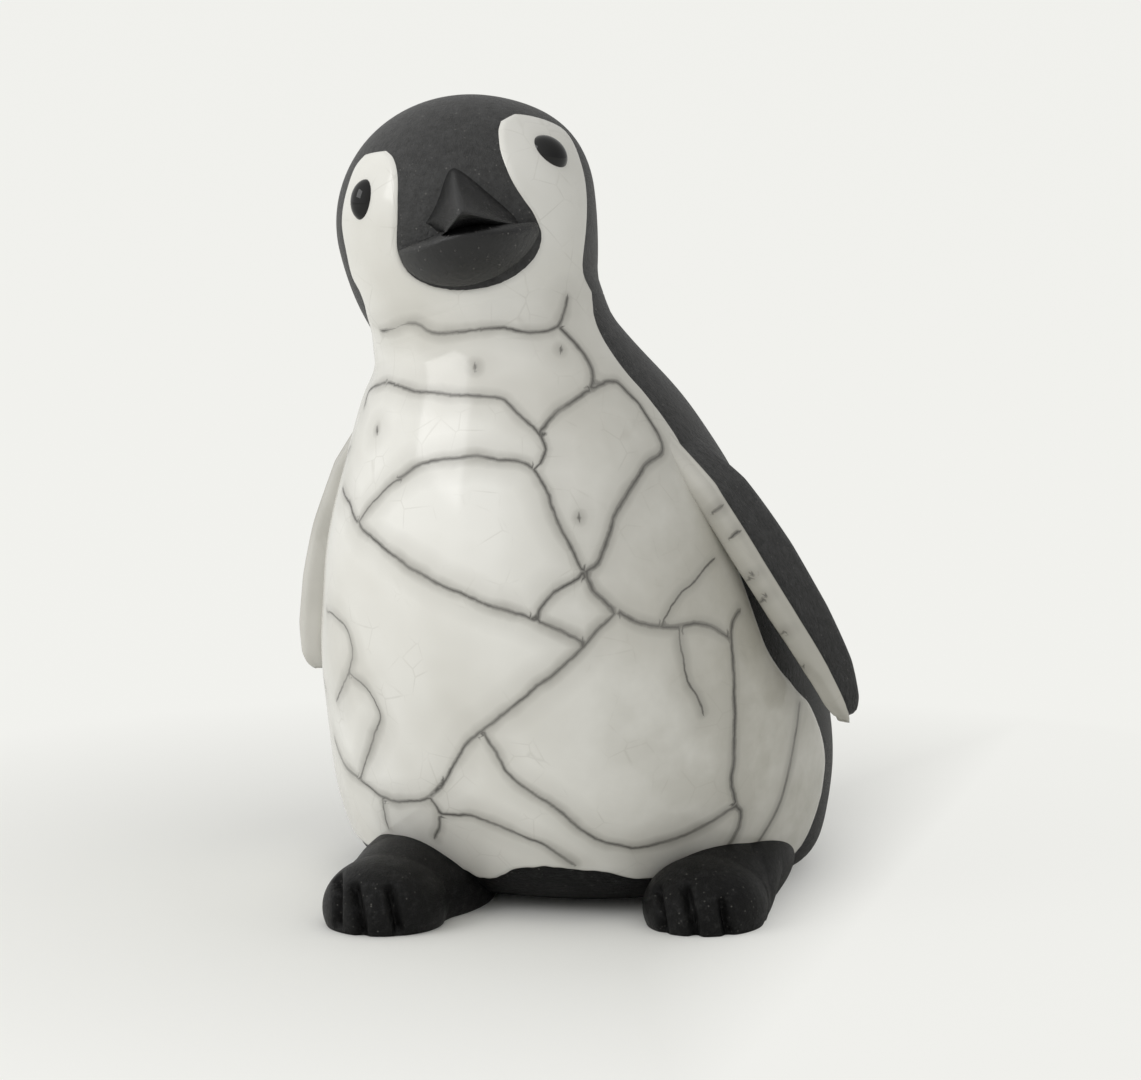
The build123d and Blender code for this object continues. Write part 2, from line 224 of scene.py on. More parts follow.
def pot_point(azimuth, share):
    """A point of the pot's outer surface, at an azimuth and a share of the neck ring's height."""
    row = min(max(share, 0), 1) * (MAP_ROWS - 1)
    column = azimuth / (2 * pi) % 1 * MAP_COLUMNS
    r, c = min(int(row), MAP_ROWS - 2), int(column) % MAP_COLUMNS
    up, on, after = row - r, column - int(column), (c + 1) % MAP_COLUMNS
    low = pot_map[r, c] + (pot_map[r, after] - pot_map[r, c]) * on
    high = pot_map[r + 1, c] + (pot_map[r + 1, after] - pot_map[r + 1, c]) * on
    height = (rim_heights[c] + (rim_heights[after] - rim_heights[c]) * on) * share
    return middle_line(height) + outward(azimuth) * (low + (high - low) * up)


def pot_place(point):
    """Azimuth and share of the neck ring's height of a point on the pot."""
    azimuth = azimuth_of(point - middle_line(point.z))
    return azimuth, point.z / neck_point(azimuth).z


# %% [markdown]
# Head and pot were smoothed into each other while the clay was wet. Near the neck ring each point is the
# average of nearby points above and below it, so the egg of the head flows into the pot without a crease.

# %% Smoothed neck
HEAD_RADIUS, HEAD_TOP, HEAD_LOW = 16.55 * MM, 15.9 * MM, 25.0 * MM
NECK_REACH, NECK_FADE, NECK_SHARE = 2.6 * MM, 9 * MM, 0.85
NECK_LAP, LAP_SLOPE, NECK_HOLLOW_SHARE = 1.5 * MM, 0.25, 0.94
HEAD_BULGES = (((576, 140), 0.8 * MM), ((560, 112), 0.5 * MM), ((597, 262), -0.6 * MM))
BULGE_REACH = 7 * MM


def neck_profile(azimuth, away, height):
    """A point at a height above the neck ring, on the head's egg, or below it on the pot."""
    if height <= 0:
        return pot_point(azimuth, 1 + height / (NECK_MIDDLE + away * NECK_RADIUS).z)
    ring = HEAD_RADIUS * (1 - ((height - NECK_DROP) / HEAD_LOW) ** 2) ** 0.5
    return NECK_MIDDLE + HEAD_UP * height + away * ring


def neck_blend(azimuth, away, height):
    """The smoothed surface at a height above the neck ring."""
    reach = NECK_REACH * max(0, 1 - abs(height) / NECK_FADE)
    point = Vector()
    for step, weight in zip((-2, -1, 0, 1, 2), (1, 2, 3, 2, 1)):
        point += neck_profile(azimuth, away, height + step * reach) * (weight / 9)
    return point


bulges = [(picture_point(pixel, head_skin), size) for pixel, size in HEAD_BULGES]


def bulged(point, direction):
    """The point moved along a direction where the hand-made head is fuller or leaner than an egg."""
    for middle, size in bulges:
        point = point + direction * size * np.exp(-(((point - middle).length / BULGE_REACH) ** 2))
    return point


def body_point(azimuth, share):
    """A point of the body's surface, at an azimuth and a share of the neck ring's height."""
    if share < NECK_SHARE:
        return pot_point(azimuth, share)
    rim = neck_point(azimuth)
    point = neck_blend(azimuth, (rim - NECK_MIDDLE).normalized(), (min(share, 1) - 1) * rim.z)
    return bulged(point, head_direction(point))


def head_direction(point):
    """The direction of a point from the middle of the head."""
    return (point - HEAD_MIDDLE).normalized()


def head_point(direction):
    """The head's surface in a direction from its middle: an egg that ends just under the neck ring."""
    direction = Vector(direction).normalized()
    up = direction.dot(HEAD_UP)
    tall = HEAD_TOP if up > 0 else HEAD_LOW
    reach = ((1 - up**2) / HEAD_RADIUS**2 + up**2 / tall**2) ** -0.5
    if up < 0:
        reach = min(reach, (NECK_DROP + NECK_LAP) / -up)
    point = HEAD_MIDDLE + direction * reach
    height = (point - NECK_MIDDLE).dot(HEAD_UP)
    away = point - NECK_MIDDLE - HEAD_UP * height
    if height < NECK_FADE and away.length > NECK_HOLLOW_SHARE * NECK_RADIUS:
        away.normalize()
        rim = NECK_MIDDLE + away * NECK_RADIUS
        point = neck_blend(azimuth_of(rim - middle_line(rim.z)), away, height)
        point += away * min(0, height) * LAP_SLOPE
    return bulged(point, head_direction(point))


print("neck smoothed over", round(2 * NECK_REACH / MM, 1), "mm each way")

# %% [markdown]
# Pieces start from Blender's own primitives. A few small helpers follow: one names a fresh primitive, one
# selects a piece alone, one gives all its faces to the edit mode, one adds and applies a modifier, and one
# hands a finished piece to the frame.

# %% Helpers for pieces
def fresh(name):
    """Names the primitive that was just added."""
    piece = bpy.context.object
    piece.name = name
    piece.data.name = name
    return piece


def only(piece):
    """Selects one object alone and makes it the active one."""
    bpy.ops.object.select_all(action="DESELECT")
    piece.select_set(True)
    bpy.context.view_layer.objects.active = piece


def edit_all(piece):
    """Opens a piece in edit mode with all of it selected."""
    only(piece)
    bpy.ops.object.mode_set(mode="EDIT")
    bpy.ops.mesh.select_all(action="SELECT")


def facing_out(piece):
    """Turns all the faces of a piece outwards."""
    edit_all(piece)
    bpy.ops.mesh.normals_make_consistent(inside=False)
    bpy.ops.object.mode_set(mode="OBJECT")


def finished_with(piece, kind, **settings):
    """Adds a modifier with its settings and applies it."""
    only(piece)
    modifier = piece.modifiers.new(kind.lower(), kind)
    for key, value in settings.items():
        setattr(modifier, key, value)
    bpy.ops.object.modifier_apply(modifier=modifier.name)


def hand_over(piece, slot, *nodes):
    """The finished piece takes the place of one or more nodes of the frame."""
    only(piece)
    bpy.ops.object.shade_smooth()
    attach(piece, "root")
    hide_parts(*nodes)
    print(piece.name, len(piece.data.polygons), "faces")


# %% [markdown]
# Clay that was pressed by hand is never quite even. One slow wave with a quicker ripple moves the body, the
# head and the coats of glaze inwards by a tenth or two of a millimetre, so that the glaze follows the clay
# under it. The glaze is then raised off the clay, and it thins out towards its brushed border, which ends
# in the clay.

# %% The unevenness of hand-pressed clay
WAVE_LENGTH, WAVE_DEPTH, WAVE_MIDDLE, WAVE_SWING = 17 * MM, 0.22 * MM, 0.5, 0.35
RIPPLE_SHARE, RIPPLE_RATE = 0.5, 2.3
GLAZE_PROUD, GLAZE_THICKNESS = 0.28 * MM, 0.6 * MM
BORDER_WIDTH, BORDER_DIP = 0.9 * MM, 1.5


def press_by_hand(piece, lift=lambda point: 0):
    """Moves each point inwards by the slow wave, and outwards by the lift of its place."""
    normals = [vertex.normal.copy() for vertex in piece.data.vertices]
    for vertex, normal in zip(piece.data.vertices, normals):
        at = vertex.co / WAVE_LENGTH
        wave = noise.noise(at) + RIPPLE_SHARE * noise.noise(at * RIPPLE_RATE)
        vertex.co += normal * (lift(vertex.co) - WAVE_DEPTH * (WAVE_MIDDLE + WAVE_SWING * wave))
        vertex.co.z = max(vertex.co.z, 0)


def border_of(piece):
    """A search tree of the points on the open border of a skin."""
    only(piece)
    bpy.ops.object.mode_set(mode="EDIT")
    bpy.ops.mesh.select_all(action="DESELECT")
    bpy.ops.mesh.select_non_manifold()
    bpy.ops.object.mode_set(mode="OBJECT")
    border = [vertex.co.copy() for vertex in piece.data.vertices if vertex.select]
    tree = KDTree(len(border))
    for number, point in enumerate(border):
        tree.insert(point, number)
    tree.balance()
    return tree


def raised(piece):
    """Raises a skin of glaze off the clay, less and less towards its border."""
    border = border_of(piece)

    def lift(point):
        """How far the glaze stands off the clay at a point, by its distance from the border."""
        inside = min(1, border.find(point)[2] / BORDER_WIDTH)
        return GLAZE_PROUD * (1 - BORDER_DIP * (1 - inside) ** 2)

    press_by_hand(piece, lift)


# %% [markdown]
# The clay body is a pear-shaped pot. It starts from a sphere, whose points are laid on the pot's map and on
# the smoothed neck. The sphere's two ends close it, one at the table and one inside the head.

# %% Body: the black clay pot
CAP = 0.05  # the share of the sphere, from either pole, that closes an end

bpy.ops.object.select_all(action="DESELECT")
bpy.ops.mesh.primitive_uv_sphere_add(segments=192, ring_count=160, radius=1)
body = fresh("clay_body")
for vertex in body.data.vertices:
    x, y, z = vertex.co
    azimuth = atan2(x, -y)
    up = 0.5 + atan2(z, (x * x + y * y) ** 0.5) / pi
    if up < CAP:
        vertex.co = BASE_MIDDLE.lerp(pot_point(azimuth, 0), up / CAP)
    elif up > 1 - CAP:
        vertex.co = NECK_MIDDLE.lerp(body_point(azimuth, 1), (1 - up) / CAP)
    else:
        vertex.co = body_point(azimuth, (up - CAP) / (1 - 2 * CAP))
press_by_hand(body)
hand_over(body, "black_clay", "body")

# %% [markdown]
# The head is an egg that was luted on and smoothed. Its points come from a sphere in the same way.

# %% Head: the black clay egg
bpy.ops.object.select_all(action="DESELECT")
bpy.ops.mesh.primitive_uv_sphere_add(segments=144, ring_count=110, radius=1)
head = fresh("clay_head")
for vertex in head.data.vertices:
    x, y, z = vertex.co
    vertex.co = head_point(HEAD_RIGHT * x - HEAD_FRONT * y + HEAD_UP * z)
press_by_hand(head)
hand_over(head, "black_clay", "head")

# %% [markdown]
# The glaze was brushed on up to a drawn edge. On the body its edge is read in the photograph from the neck
# down the figure's left side and along the feet, and the side that the camera doesn't see is given by
# azimuth and height. A grid of points is laid between the four edges and on the pot.

# %% Glaze on the body
BODY_ACROSS, BODY_ALONG = 190, 150
BRUSH_DEPTH, BRUSH_FADE, BRUSH_RATES, BRUSH_SEED = 0.004, 20, (0.23, 3), 7
GLAZE_RIGHT_PIXELS = (
    (588, 296), (600, 330), (618, 360), (640, 386), (657, 407), (676, 434), (688, 458), (700, 488),
    (730, 545), (752, 605), (771, 654), (793, 683), (809, 702), (820, 728), (825, 757), (823, 785),
    (818, 808), (809, 832), (797, 852), (778, 868),
)
GLAZE_BOTTOM_PIXELS = (
    (778, 868), (756, 872), (725, 874), (700, 876), (671, 878), (640, 880), (605, 874), (571, 870),
    (545, 868), (518, 870), (499, 878), (484, 880), (464, 872), (433, 858), (404, 848), (383, 845),
    (360, 848),
)
GLAZE_LEFT_PLACES = (
    (-82, 73), (-83, 62), (-89, 55), (-88, 45), (-86, 35), (-88, 27), (-95, 21), (-104, 15), (-106, 11),
    (-101, 8),
)


def place_of_pixel(pixel):
    """Azimuth and height share of the place on the pot that is seen in the photograph."""
    return pot_place(picture_point(pixel, body_skin))


def patch(name, across, along, bottom, top, left, right, lay):
    """A grid between four edges of places, each laid on a surface by a function."""
    bottom, top = evenly(bottom, across + 1), evenly(top, across + 1)
    left, right = evenly(left, along + 1), evenly(right, along + 1)
    bpy.ops.object.select_all(action="DESELECT")
    bpy.ops.mesh.primitive_grid_add(x_subdivisions=across, y_subdivisions=along, size=2)
    piece = fresh(name)
    for vertex in piece.data.vertices:
        u, v = (vertex.co.x + 1) / 2, (vertex.co.y + 1) / 2
        i, j = round(u * across), round(v * along)
        corners = (
            bottom[0] * (1 - u) * (1 - v) + bottom[-1] * u * (1 - v)
            + top[0] * (1 - u) * v + top[-1] * u * v
        )
        place = bottom[i] * (1 - v) + top[i] * v + left[j] * (1 - u) + right[j] * u - corners
        vertex.co = lay(place)
    return piece


def ragged(line):
    """The same line with the small unevenness of a brushed edge. Its two ends stay in place."""
    line = np.array(line, float)
    for number in range(1, len(line) - 1):
        at = Vector((number * BRUSH_RATES[0], line[number][0] * BRUSH_RATES[1], BRUSH_SEED))
        inner = min(1, number / BRUSH_FADE, (len(line) - 1 - number) / BRUSH_FADE)
        line[number] += BRUSH_DEPTH * inner * np.array(noise.noise_vector(at))[: line.shape[1]]
    return line


right_edge = smooth_through([place_of_pixel(p) for p in GLAZE_RIGHT_PIXELS], 10)
right_edge[0][1] = 1
bottom_seen = [place_of_pixel(p) for p in GLAZE_BOTTOM_PIXELS]
left_edge = [(radians(a), h * MM / neck_point(radians(a)).z) for a, h in GLAZE_LEFT_PLACES]
left_edge[0] = (left_edge[0][0], 1)
left_edge = smooth_through(left_edge, 10)
bottom_edge = smooth_through(bottom_seen + [tuple(left_edge[-1])], 10)
bottom_edge[0] = right_edge[-1]
top_edge = np.linspace(left_edge[0], right_edge[0], BODY_ACROSS + 1)
body_glaze = patch(
    "crackle_glaze", BODY_ACROSS, BODY_ALONG, ragged(bottom_edge)[::-1], top_edge,
    ragged(left_edge)[::-1], ragged(right_edge)[::-1], lambda place: body_point(*place),
)
print("body glaze grid", len(body_glaze.data.vertices), "points")

# %% [markdown]
# On the head the glaze is one band from one brow under the chin to the other, between the dark mask of the
# face and the dark back of the head. Its outer edge shares the points of the neck ring with the body's
# glaze, so the two grids join into one coat, which is raised off the clay and thinned at its border.

# %% Glaze on the head, and the whole coat
CHEEK_ACROSS, HEAD_ALONG, SEAM_WELD = 40, 46, 0.005 * MM
MASK_LEFT_PIXELS = ((385, 149), (394, 158), (398, 178), (398, 215), (397, 245), (402, 262))
MASK_CHIN_PIXELS = (
    (402, 262), (410, 273), (424, 282), (445, 288), (468, 289), (498, 283), (520, 271), (535, 256),
    (541, 241), (541, 230),
)
MASK_RIGHT_PIXELS = ((541, 230), (534, 214), (522, 197), (511, 180), (501, 155), (498, 132), (501, 119))
CHEEK_PIXELS_LEFT = ((367, 152), (355, 166), (346, 190), (341, 222), (345, 250), (352, 278), (364, 304))
CHEEK_PIXELS_RIGHT = ((587, 268), (590, 230), (589, 200), (581, 165), (563, 134), (540, 119), (512, 113))


def directions_of(pixels):
    """Directions from the head's middle to places on the head that are seen in the photograph."""
    return [head_direction(picture_point(pixel, head_skin)) for pixel in pixels]


mask_edge = []
for pixels, count in (
    (MASK_LEFT_PIXELS, CHEEK_ACROSS), (MASK_CHIN_PIXELS, BODY_ACROSS), (MASK_RIGHT_PIXELS, CHEEK_ACROSS)
):
    line = smooth_through(directions_of(pixels), 10)
    mask_edge += [*evenly(line, count + 1)[:-1]]
mask_edge.append(line[-1])
neck_ring = [head_direction(neck_point(azimuth)) for azimuth in top_edge[:, 0]]
left_cheek = smooth_through(directions_of(CHEEK_PIXELS_LEFT) + [neck_ring[0]], 8)
right_cheek = smooth_through([neck_ring[-1]] + directions_of(CHEEK_PIXELS_RIGHT), 8)
left_cheek = evenly(left_cheek, CHEEK_ACROSS + 1)[:-1]
right_cheek = evenly(right_cheek, CHEEK_ACROSS + 1)[1:]
cheek_edge = np.concatenate([left_cheek, np.array(neck_ring), right_cheek])
head_glaze = patch(
    "crackle_glaze_head", len(cheek_edge) - 1, HEAD_ALONG, cheek_edge, ragged(mask_edge),
    [cheek_edge[0], mask_edge[0]], [cheek_edge[-1], mask_edge[-1]], head_point,
)
body_top = len(body_glaze.data.vertices) - BODY_ACROSS - 1
for number in range(BODY_ACROSS + 1):
    head_glaze.data.vertices[CHEEK_ACROSS + number].co = body_glaze.data.vertices[body_top + number].co
only(body_glaze)
head_glaze.select_set(True)
bpy.ops.object.join()
front_coat = body_glaze
edit_all(front_coat)
bpy.ops.mesh.remove_doubles(threshold=SEAM_WELD)
bpy.ops.mesh.normals_make_consistent(inside=False)
bpy.ops.object.mode_set(mode="OBJECT")
raised(front_coat)
print("coat of glaze", len(front_coat.data.vertices), "points")

# %% [markdown]
# The eyes are beads of black glaze. Each is a sphere, pressed to an oval along the line that the photograph
# shows and set into the cheek. The table gives half of its width in millimetres and the ends of its length.

# %% Eyes
EYE_SHAPES = {
    "right_eye": (1.9, (366.4, 178.7), (360.3, 220.7)),
    "left_eye": (2.3, (533.2, 141.3), (566.7, 163.0)),
}
EYE_HALF_DEPTH, EYE_SINK = 1.8 * MM, 0.5 * MM


def bead(node, half_width, *ends):
    """An oval bead between two places on the head."""
    first, last = (head_point(direction) for direction in directions_of(ends))
    middle = head_point(head_direction((first + last) / 2))
    normal = head_direction(middle)
    length = last - first
    length -= normal * length.dot(normal)
    across = normal.cross(length).normalized()
    bpy.ops.object.select_all(action="DESELECT")
    bpy.ops.mesh.primitive_uv_sphere_add(segments=64, ring_count=40, radius=1)
    piece = fresh("glazed_" + node)
    for vertex in piece.data.vertices:
        x, y, z = vertex.co
        vertex.co = (
            middle - normal * EYE_SINK + length / 2 * x + across * half_width * MM * y
            + normal * EYE_HALF_DEPTH * z
        )
    hand_over(piece, "eye_glaze", node)
    return piece


eyes = [bead(node, *shape) for node, shape in EYE_SHAPES.items()]

# %% [markdown]
# The beak is pinched from soft clay, so its ridge and rims are soft creases. Its upper half is a small cage
# of corners, given from the front as millimetres right and up from the middle of the head, and how far each
# stands off the head. Subdivision rounds the cage, and creases keep its ridge and the rim of the mouth.

# %% Upper beak
BEAK_ROOT, BEAK_LEVELS = 5 * MM, 4
BEAK_CORNERS = {
    "brow": (0.0, 6.6, -0.3),
    "ridge_high": (-0.1, 4.3, 2.6),
    "ridge_low": (-0.2, 2.0, 6.0),
    "tip": (-0.2, -0.5, 8.8),
    "left_high": (-1.2, 5.2, -0.3),
    "left_mid": (-2.6, 2.6, -0.1),
    "left_low": (-5.0, -0.2, -0.4),
    "left_corner": (-8.2, -3.0, -0.9),
    "left_mouth_out": (-5.8, -3.0, 0.8),
    "left_mouth_in": (-2.6, -2.2, 5.2),
    "right_high": (1.6, 5.4, -0.4),
    "slope_high": (1.1, 3.6, 0.9),
    "slope_low": (1.9, 1.3, 2.6),
    "right_mid": (3.9, 2.2, -0.3),
    "slope_out": (4.2, -0.6, 1.3),
    "right_low": (6.2, -1.2, -0.3),
    "right_corner": (7.2, -3.3, -0.4),
    "rim_in": (1.9, -1.1, 6.2),
    "rim_mid": (3.9, -2.1, 4.0),
    "rim_out": (5.8, -3.0, 1.8),
    "hollow_in": (0.8, -1.9, 4.6),
    "hollow_mid": (2.9, -3.0, 3.0),
    "hollow_out": (4.8, -3.5, 1.5),
}
BEAK_FACES = (
    ("brow", "left_high", "left_mid", "ridge_high"),
    ("ridge_high", "left_mid", "left_low", "ridge_low"),
    ("ridge_low", "left_low", "left_mouth_in", "tip"),
    ("left_low", "left_corner", "left_mouth_out", "left_mouth_in"),
    ("brow", "ridge_high", "slope_high", "right_high"),
    ("ridge_high", "ridge_low", "slope_low", "slope_high"),
    ("ridge_low", "tip", "rim_in", "slope_low"),
    ("right_high", "slope_high", "slope_low", "right_mid"),
    ("slope_low", "rim_in", "rim_mid", "slope_out"),
    ("right_mid", "slope_low", "slope_out", "right_low"),
    ("slope_out", "rim_mid", "rim_out", "right_corner"),
    ("right_low", "slope_out", "right_corner"),
    ("tip", "hollow_in", "rim_in"),
    ("rim_in", "hollow_in", "hollow_mid", "rim_mid"),
    ("rim_mid", "hollow_mid", "hollow_out", "rim_out"),
    ("rim_out", "hollow_out", "right_corner"),
    ("tip", "left_mouth_in", "hollow_in"),
)
BEAK_CREASES = (
    ("brow", "ridge_high", 0.3), ("ridge_high", "ridge_low", 0.35), ("ridge_low", "tip", 0.35),
    ("tip", "rim_in", 0.4), ("rim_in", "rim_mid", 0.4), ("rim_mid", "rim_out", 0.4),
    ("tip", "left_mouth_in", 0.7), ("left_mouth_in", "left_mouth_out", 0.7), ("tip", "hollow_in", 0.6),
)


def face_point(right, up, stand_off):
    """A point before the face: right and up from the head's middle, and how far off the head's surface."""
    tall = HEAD_TOP if up > 0 else HEAD_LOW
    level = max(0, 1 - (up / tall) ** 2 - (right / HEAD_RADIUS) ** 2) ** 0.5 * HEAD_RADIUS
    return HEAD_MIDDLE + HEAD_RIGHT * right + HEAD_UP * up + HEAD_FRONT * (level + stand_off)


def closed_behind(piece, depth):
    """Draws the open border of a skin back into the head and closes it there."""
    edit_all(piece)
    bpy.ops.mesh.normals_make_consistent(inside=False)
    bpy.ops.mesh.select_all(action="DESELECT")
    bpy.ops.mesh.select_non_manifold()
    bpy.ops.mesh.extrude_region_move(TRANSFORM_OT_translate={"value": HEAD_FRONT * -depth})
    bpy.ops.mesh.edge_face_add()
    bpy.ops.mesh.select_all(action="SELECT")
    bpy.ops.mesh.normals_make_consistent(inside=False)
    bpy.ops.object.mode_set(mode="OBJECT")


names = list(BEAK_CORNERS)
cage = bpy.data.meshes.new("clay_upper_beak")
cage.from_pydata(
    [face_point(*(x * MM for x in BEAK_CORNERS[name])) for name in names], [],
    [[names.index(name) for name in face] for face in BEAK_FACES],
)
upper_beak = bpy.data.objects.new("clay_upper_beak", cage)
bpy.context.collection.objects.link(upper_beak)
crease = cage.attributes.new("crease_edge", "FLOAT", "EDGE")
for first, last, sharpness in BEAK_CREASES:
    pair = {names.index(first), names.index(last)}
    for edge in cage.edges:
        if set(edge.vertices) == pair:
            crease.data[edge.index].value = sharpness
closed_behind(upper_beak, BEAK_ROOT)
finished_with(upper_beak, "SUBSURF", levels=BEAK_LEVELS, render_levels=BEAK_LEVELS)
hand_over(upper_beak, "burnished_clay", "upper_beak")

# %% [markdown]
# The lower half of the beak is a broad rounded lip that runs out into the chin. It is a grid between the
# lines of the mouth and the chin, domed off the head and closed behind. Both lines, and the middle and half
# widths of the dome, are in millimetres right and up from the middle of the head.

# %% Lower beak
MOUTH_LINE = ((-8.8, -2.6), (-5.2, -2.2), (-3.0, -1.9), (-0.7, -1.9), (1.4, -2.2), (4.0, -2.7), (8.4, -3.2))
CHIN_LINE = ((-8.9, -3.1), (-8.4, -5.0), (-6.6, -7.0), (-3.8, -8.4), (-0.6, -8.9), (3.0, -8.4), (6.2, -6.9),
             (8.3, -4.9), (8.6, -3.6))
LIP_MIDDLE, LIP_HALF, LIP_ROUNDING = (-0.3, -3.0), (9.2, 6.3), 1.3
LIP_REACH, LIP_FULLNESS, LIP_DROP, LIP_SINK, LIP_ROOT = 5.6 * MM, 0.8, 0.3, 0.1 * MM, 4 * MM
LIP_ACROSS, LIP_ALONG = 70, 44


def lip_point(place):
    """A point of the lip: a dome off the head that falls away at the mouth line and towards the chin."""
    right, up = place
    out = ((right - LIP_MIDDLE[0]) / LIP_HALF[0]) ** 2 + ((up - LIP_MIDDLE[1]) / LIP_HALF[1]) ** 2
    lift = LIP_REACH * max(0, 1 - out) ** LIP_FULLNESS
    mouth = np.interp(right, [p[0] for p in MOUTH_LINE], [p[1] for p in MOUTH_LINE])
    near = max(0, 1 - (mouth - up) / LIP_ROUNDING)
    return face_point(right * MM, up * MM, lift * (1 - LIP_DROP * near**2) - LIP_SINK)


mouth_line, chin_line = smooth_through(MOUTH_LINE, 6), smooth_through(CHIN_LINE, 6)
lower_beak = patch(
    "clay_lower_beak", LIP_ACROSS, LIP_ALONG, chin_line, mouth_line,
    [chin_line[0], mouth_line[0]], [chin_line[-1], mouth_line[-1]], lip_point,
)
closed_behind(lower_beak, LIP_ROOT)
hand_over(lower_beak, "burnished_clay", "lower_beak")

# %% [markdown]
# A flipper is a flat paddle. Its section is a rounded slab whose width, thickness and distance from the
# body change along it. The bare clay is one closed paddle, and the glaze is a skin on its inner face and
# front edge, with a straight brushed border where the two meet. The border is given in degrees round the
# section, from the outer face over the front edge, at some shares of the length.

# %% Flippers
PADDLE_ALONG = (0.00, 0.22, 0.44, 0.64, 0.82, 0.94, 0.98, 1.00)
PADDLE_WIDTHS = (0.60, 0.92, 1.00, 0.93, 0.74, 0.48, 0.30, 0.04)
PADDLE_THICKNESSES = (0.80, 1.00, 1.00, 0.98, 0.88, 0.70, 0.52, 0.10)
PADDLE_OFFS = (0.00, 0.40, 0.60, 0.76, 0.89, 0.97, 0.99, 1.00)
PADDLE_WIDTH, PADDLE_THICKNESS = 13.0 * MM, 3.9 * MM
PADDLE_ROOT_HEIGHT, PADDLE_ROOT_SINK = 63.0 * MM, 3.4 * MM
PADDLE_SQUARENESS, CLAY_LIFT, PADDLE_SMOOTHINGS = 0.5, -0.1 * MM, 3
FRONT_BORDER = ((38, 0.995), (38, 0.35), (30, 0.2), (20, 0.03))
BACK_BORDER = ((222, 0.995), (222, 0.03))
FLIPPER_ACROSS, FLIPPER_ALONG = 44, 120
PADDLES = {
    "left_flipper": dict(side=1, azimuth=77, tip=24.3 * MM, spread=6.5 * MM),
    "right_flipper": dict(side=-1, azimuth=93, tip=26.2 * MM, spread=2.6 * MM),
}


def paddle_point(paddle, along, ring, lift=0):
    """A point of a paddle. Ring is the angle round its section, from its outer face over the front edge."""
    azimuth = radians(paddle["side"] * paddle["azimuth"])
    away, back = outward(azimuth), outward(azimuth + paddle["side"] * pi / 2)
    width, thick, off = (
        float(np.interp(along, PADDLE_ALONG, row))
        for row in (PADDLE_WIDTHS, PADDLE_THICKNESSES, PADDLE_OFFS)
    )
    height = PADDLE_ROOT_HEIGHT + (paddle["tip"] - PADDLE_ROOT_HEIGHT) * along
    surface = pot_point(azimuth, height / neck_point(azimuth).z)
    middle = surface + away * ((PADDLE_ROOT_SINK + paddle["spread"]) * off - PADDLE_ROOT_SINK)
    out, front = cos(ring), sin(ring)
    out = abs(out) ** PADDLE_SQUARENESS * (1 if out > 0 else -1)
    front = abs(front) ** PADDLE_SQUARENESS * (1 if front > 0 else -1)
    half_out, half_front = PADDLE_THICKNESS * thick / 2 + lift, PADDLE_WIDTH * width / 2 + lift
    return middle + away * out * half_out - back * front * half_front


def flipper(node, paddle):
    """One flipper: the bare paddle, and the glazed skin on it."""
    bpy.ops.object.select_all(action="DESELECT")
    bpy.ops.mesh.primitive_uv_sphere_add(segments=72, ring_count=90, radius=1)
    clay = fresh("clay_" + node)
    for vertex in clay.data.vertices:
        x, y, z = vertex.co
        along = 0.5 - atan2(z, (x * x + y * y) ** 0.5) / pi
        vertex.co = paddle_point(paddle, along, atan2(y, x), CLAY_LIFT)
    facing_out(clay)
    finished_with(clay, "SMOOTH", factor=0.5, iterations=PADDLE_SMOOTHINGS)
    hand_over(clay, "black_clay", node)
    front, back = ([(radians(a), share) for a, share in line] for line in (FRONT_BORDER, BACK_BORDER))
    glaze = patch(
        "crackle_glaze_" + node, FLIPPER_ACROSS, FLIPPER_ALONG, [front[0], back[0]], [front[-1], back[-1]],
        smooth_through(front, 12), back, lambda place: paddle_point(paddle, place[1], place[0]),
    )
    if paddle["side"] < 0:
        edit_all(glaze)
        bpy.ops.mesh.flip_normals()
        bpy.ops.object.mode_set(mode="OBJECT")
    finished_with(glaze, "SMOOTH", factor=0.5, iterations=PADDLE_SMOOTHINGS)
    raised(glaze)
    return clay, glaze


flippers = [flipper(node, paddle) for node, paddle in PADDLES.items()]

# %% [markdown]
# Each foot is a lump of clay: rounded toes, a long sole and an instep under the belly. Three spheres are
# joined and remeshed into one skin. They are given in millimetres: half width, half length, half height and
# how far behind the toes. The outer side is drawn in at the back, three grooves are pressed in where the
# photograph shows them between the toes, and the sole is cut flat at the table.

# %% Feet
FEET = {
    "left_foot": dict(tip=FIGURE_PLACE + Vector((21.5, -35.0, 0)) * MM, heading=radians(-4)),
    "right_foot": dict(tip=FIGURE_PLACE + Vector((-17.2, -44.5, 0)) * MM, heading=radians(-3)),
}
FOOT_LUMPS = ((7.8, 8.5, 6.2, 8.5), (7.9, 18.5, 7.0, 18.5), (9.4, 15.0, 7.2, 22.0))
FOOT_CENTRE_HEIGHT, FOOT_VOXEL, FOOT_SMOOTHINGS = 2.2 * MM, 0.26 * MM, 10
GROOVE_PIXELS = {
    "right_foot": (((337, 878), (337, 924)), ((354, 887), (362, 934)), ((391, 889), (399, 930))),
    "left_foot": (((656, 890), (663, 930)), ((686, 888), (695, 938)), ((724, 902), (729, 934))),
}
GROOVE_DEPTH, GROOVE_HALF_WIDTH, GROOVE_STEPS = 1.4 * MM, 0.6 * MM, 24
UNDERCUT_SHARE, UNDERCUT_TOP, UNDERCUT_START, UNDERCUT_FADE = 0.5, 8.5 * MM, 12 * MM, 8 * MM
SOLE_HEIGHT, CUT_TOLERANCE = 0.02 * MM, 0.001 * MM


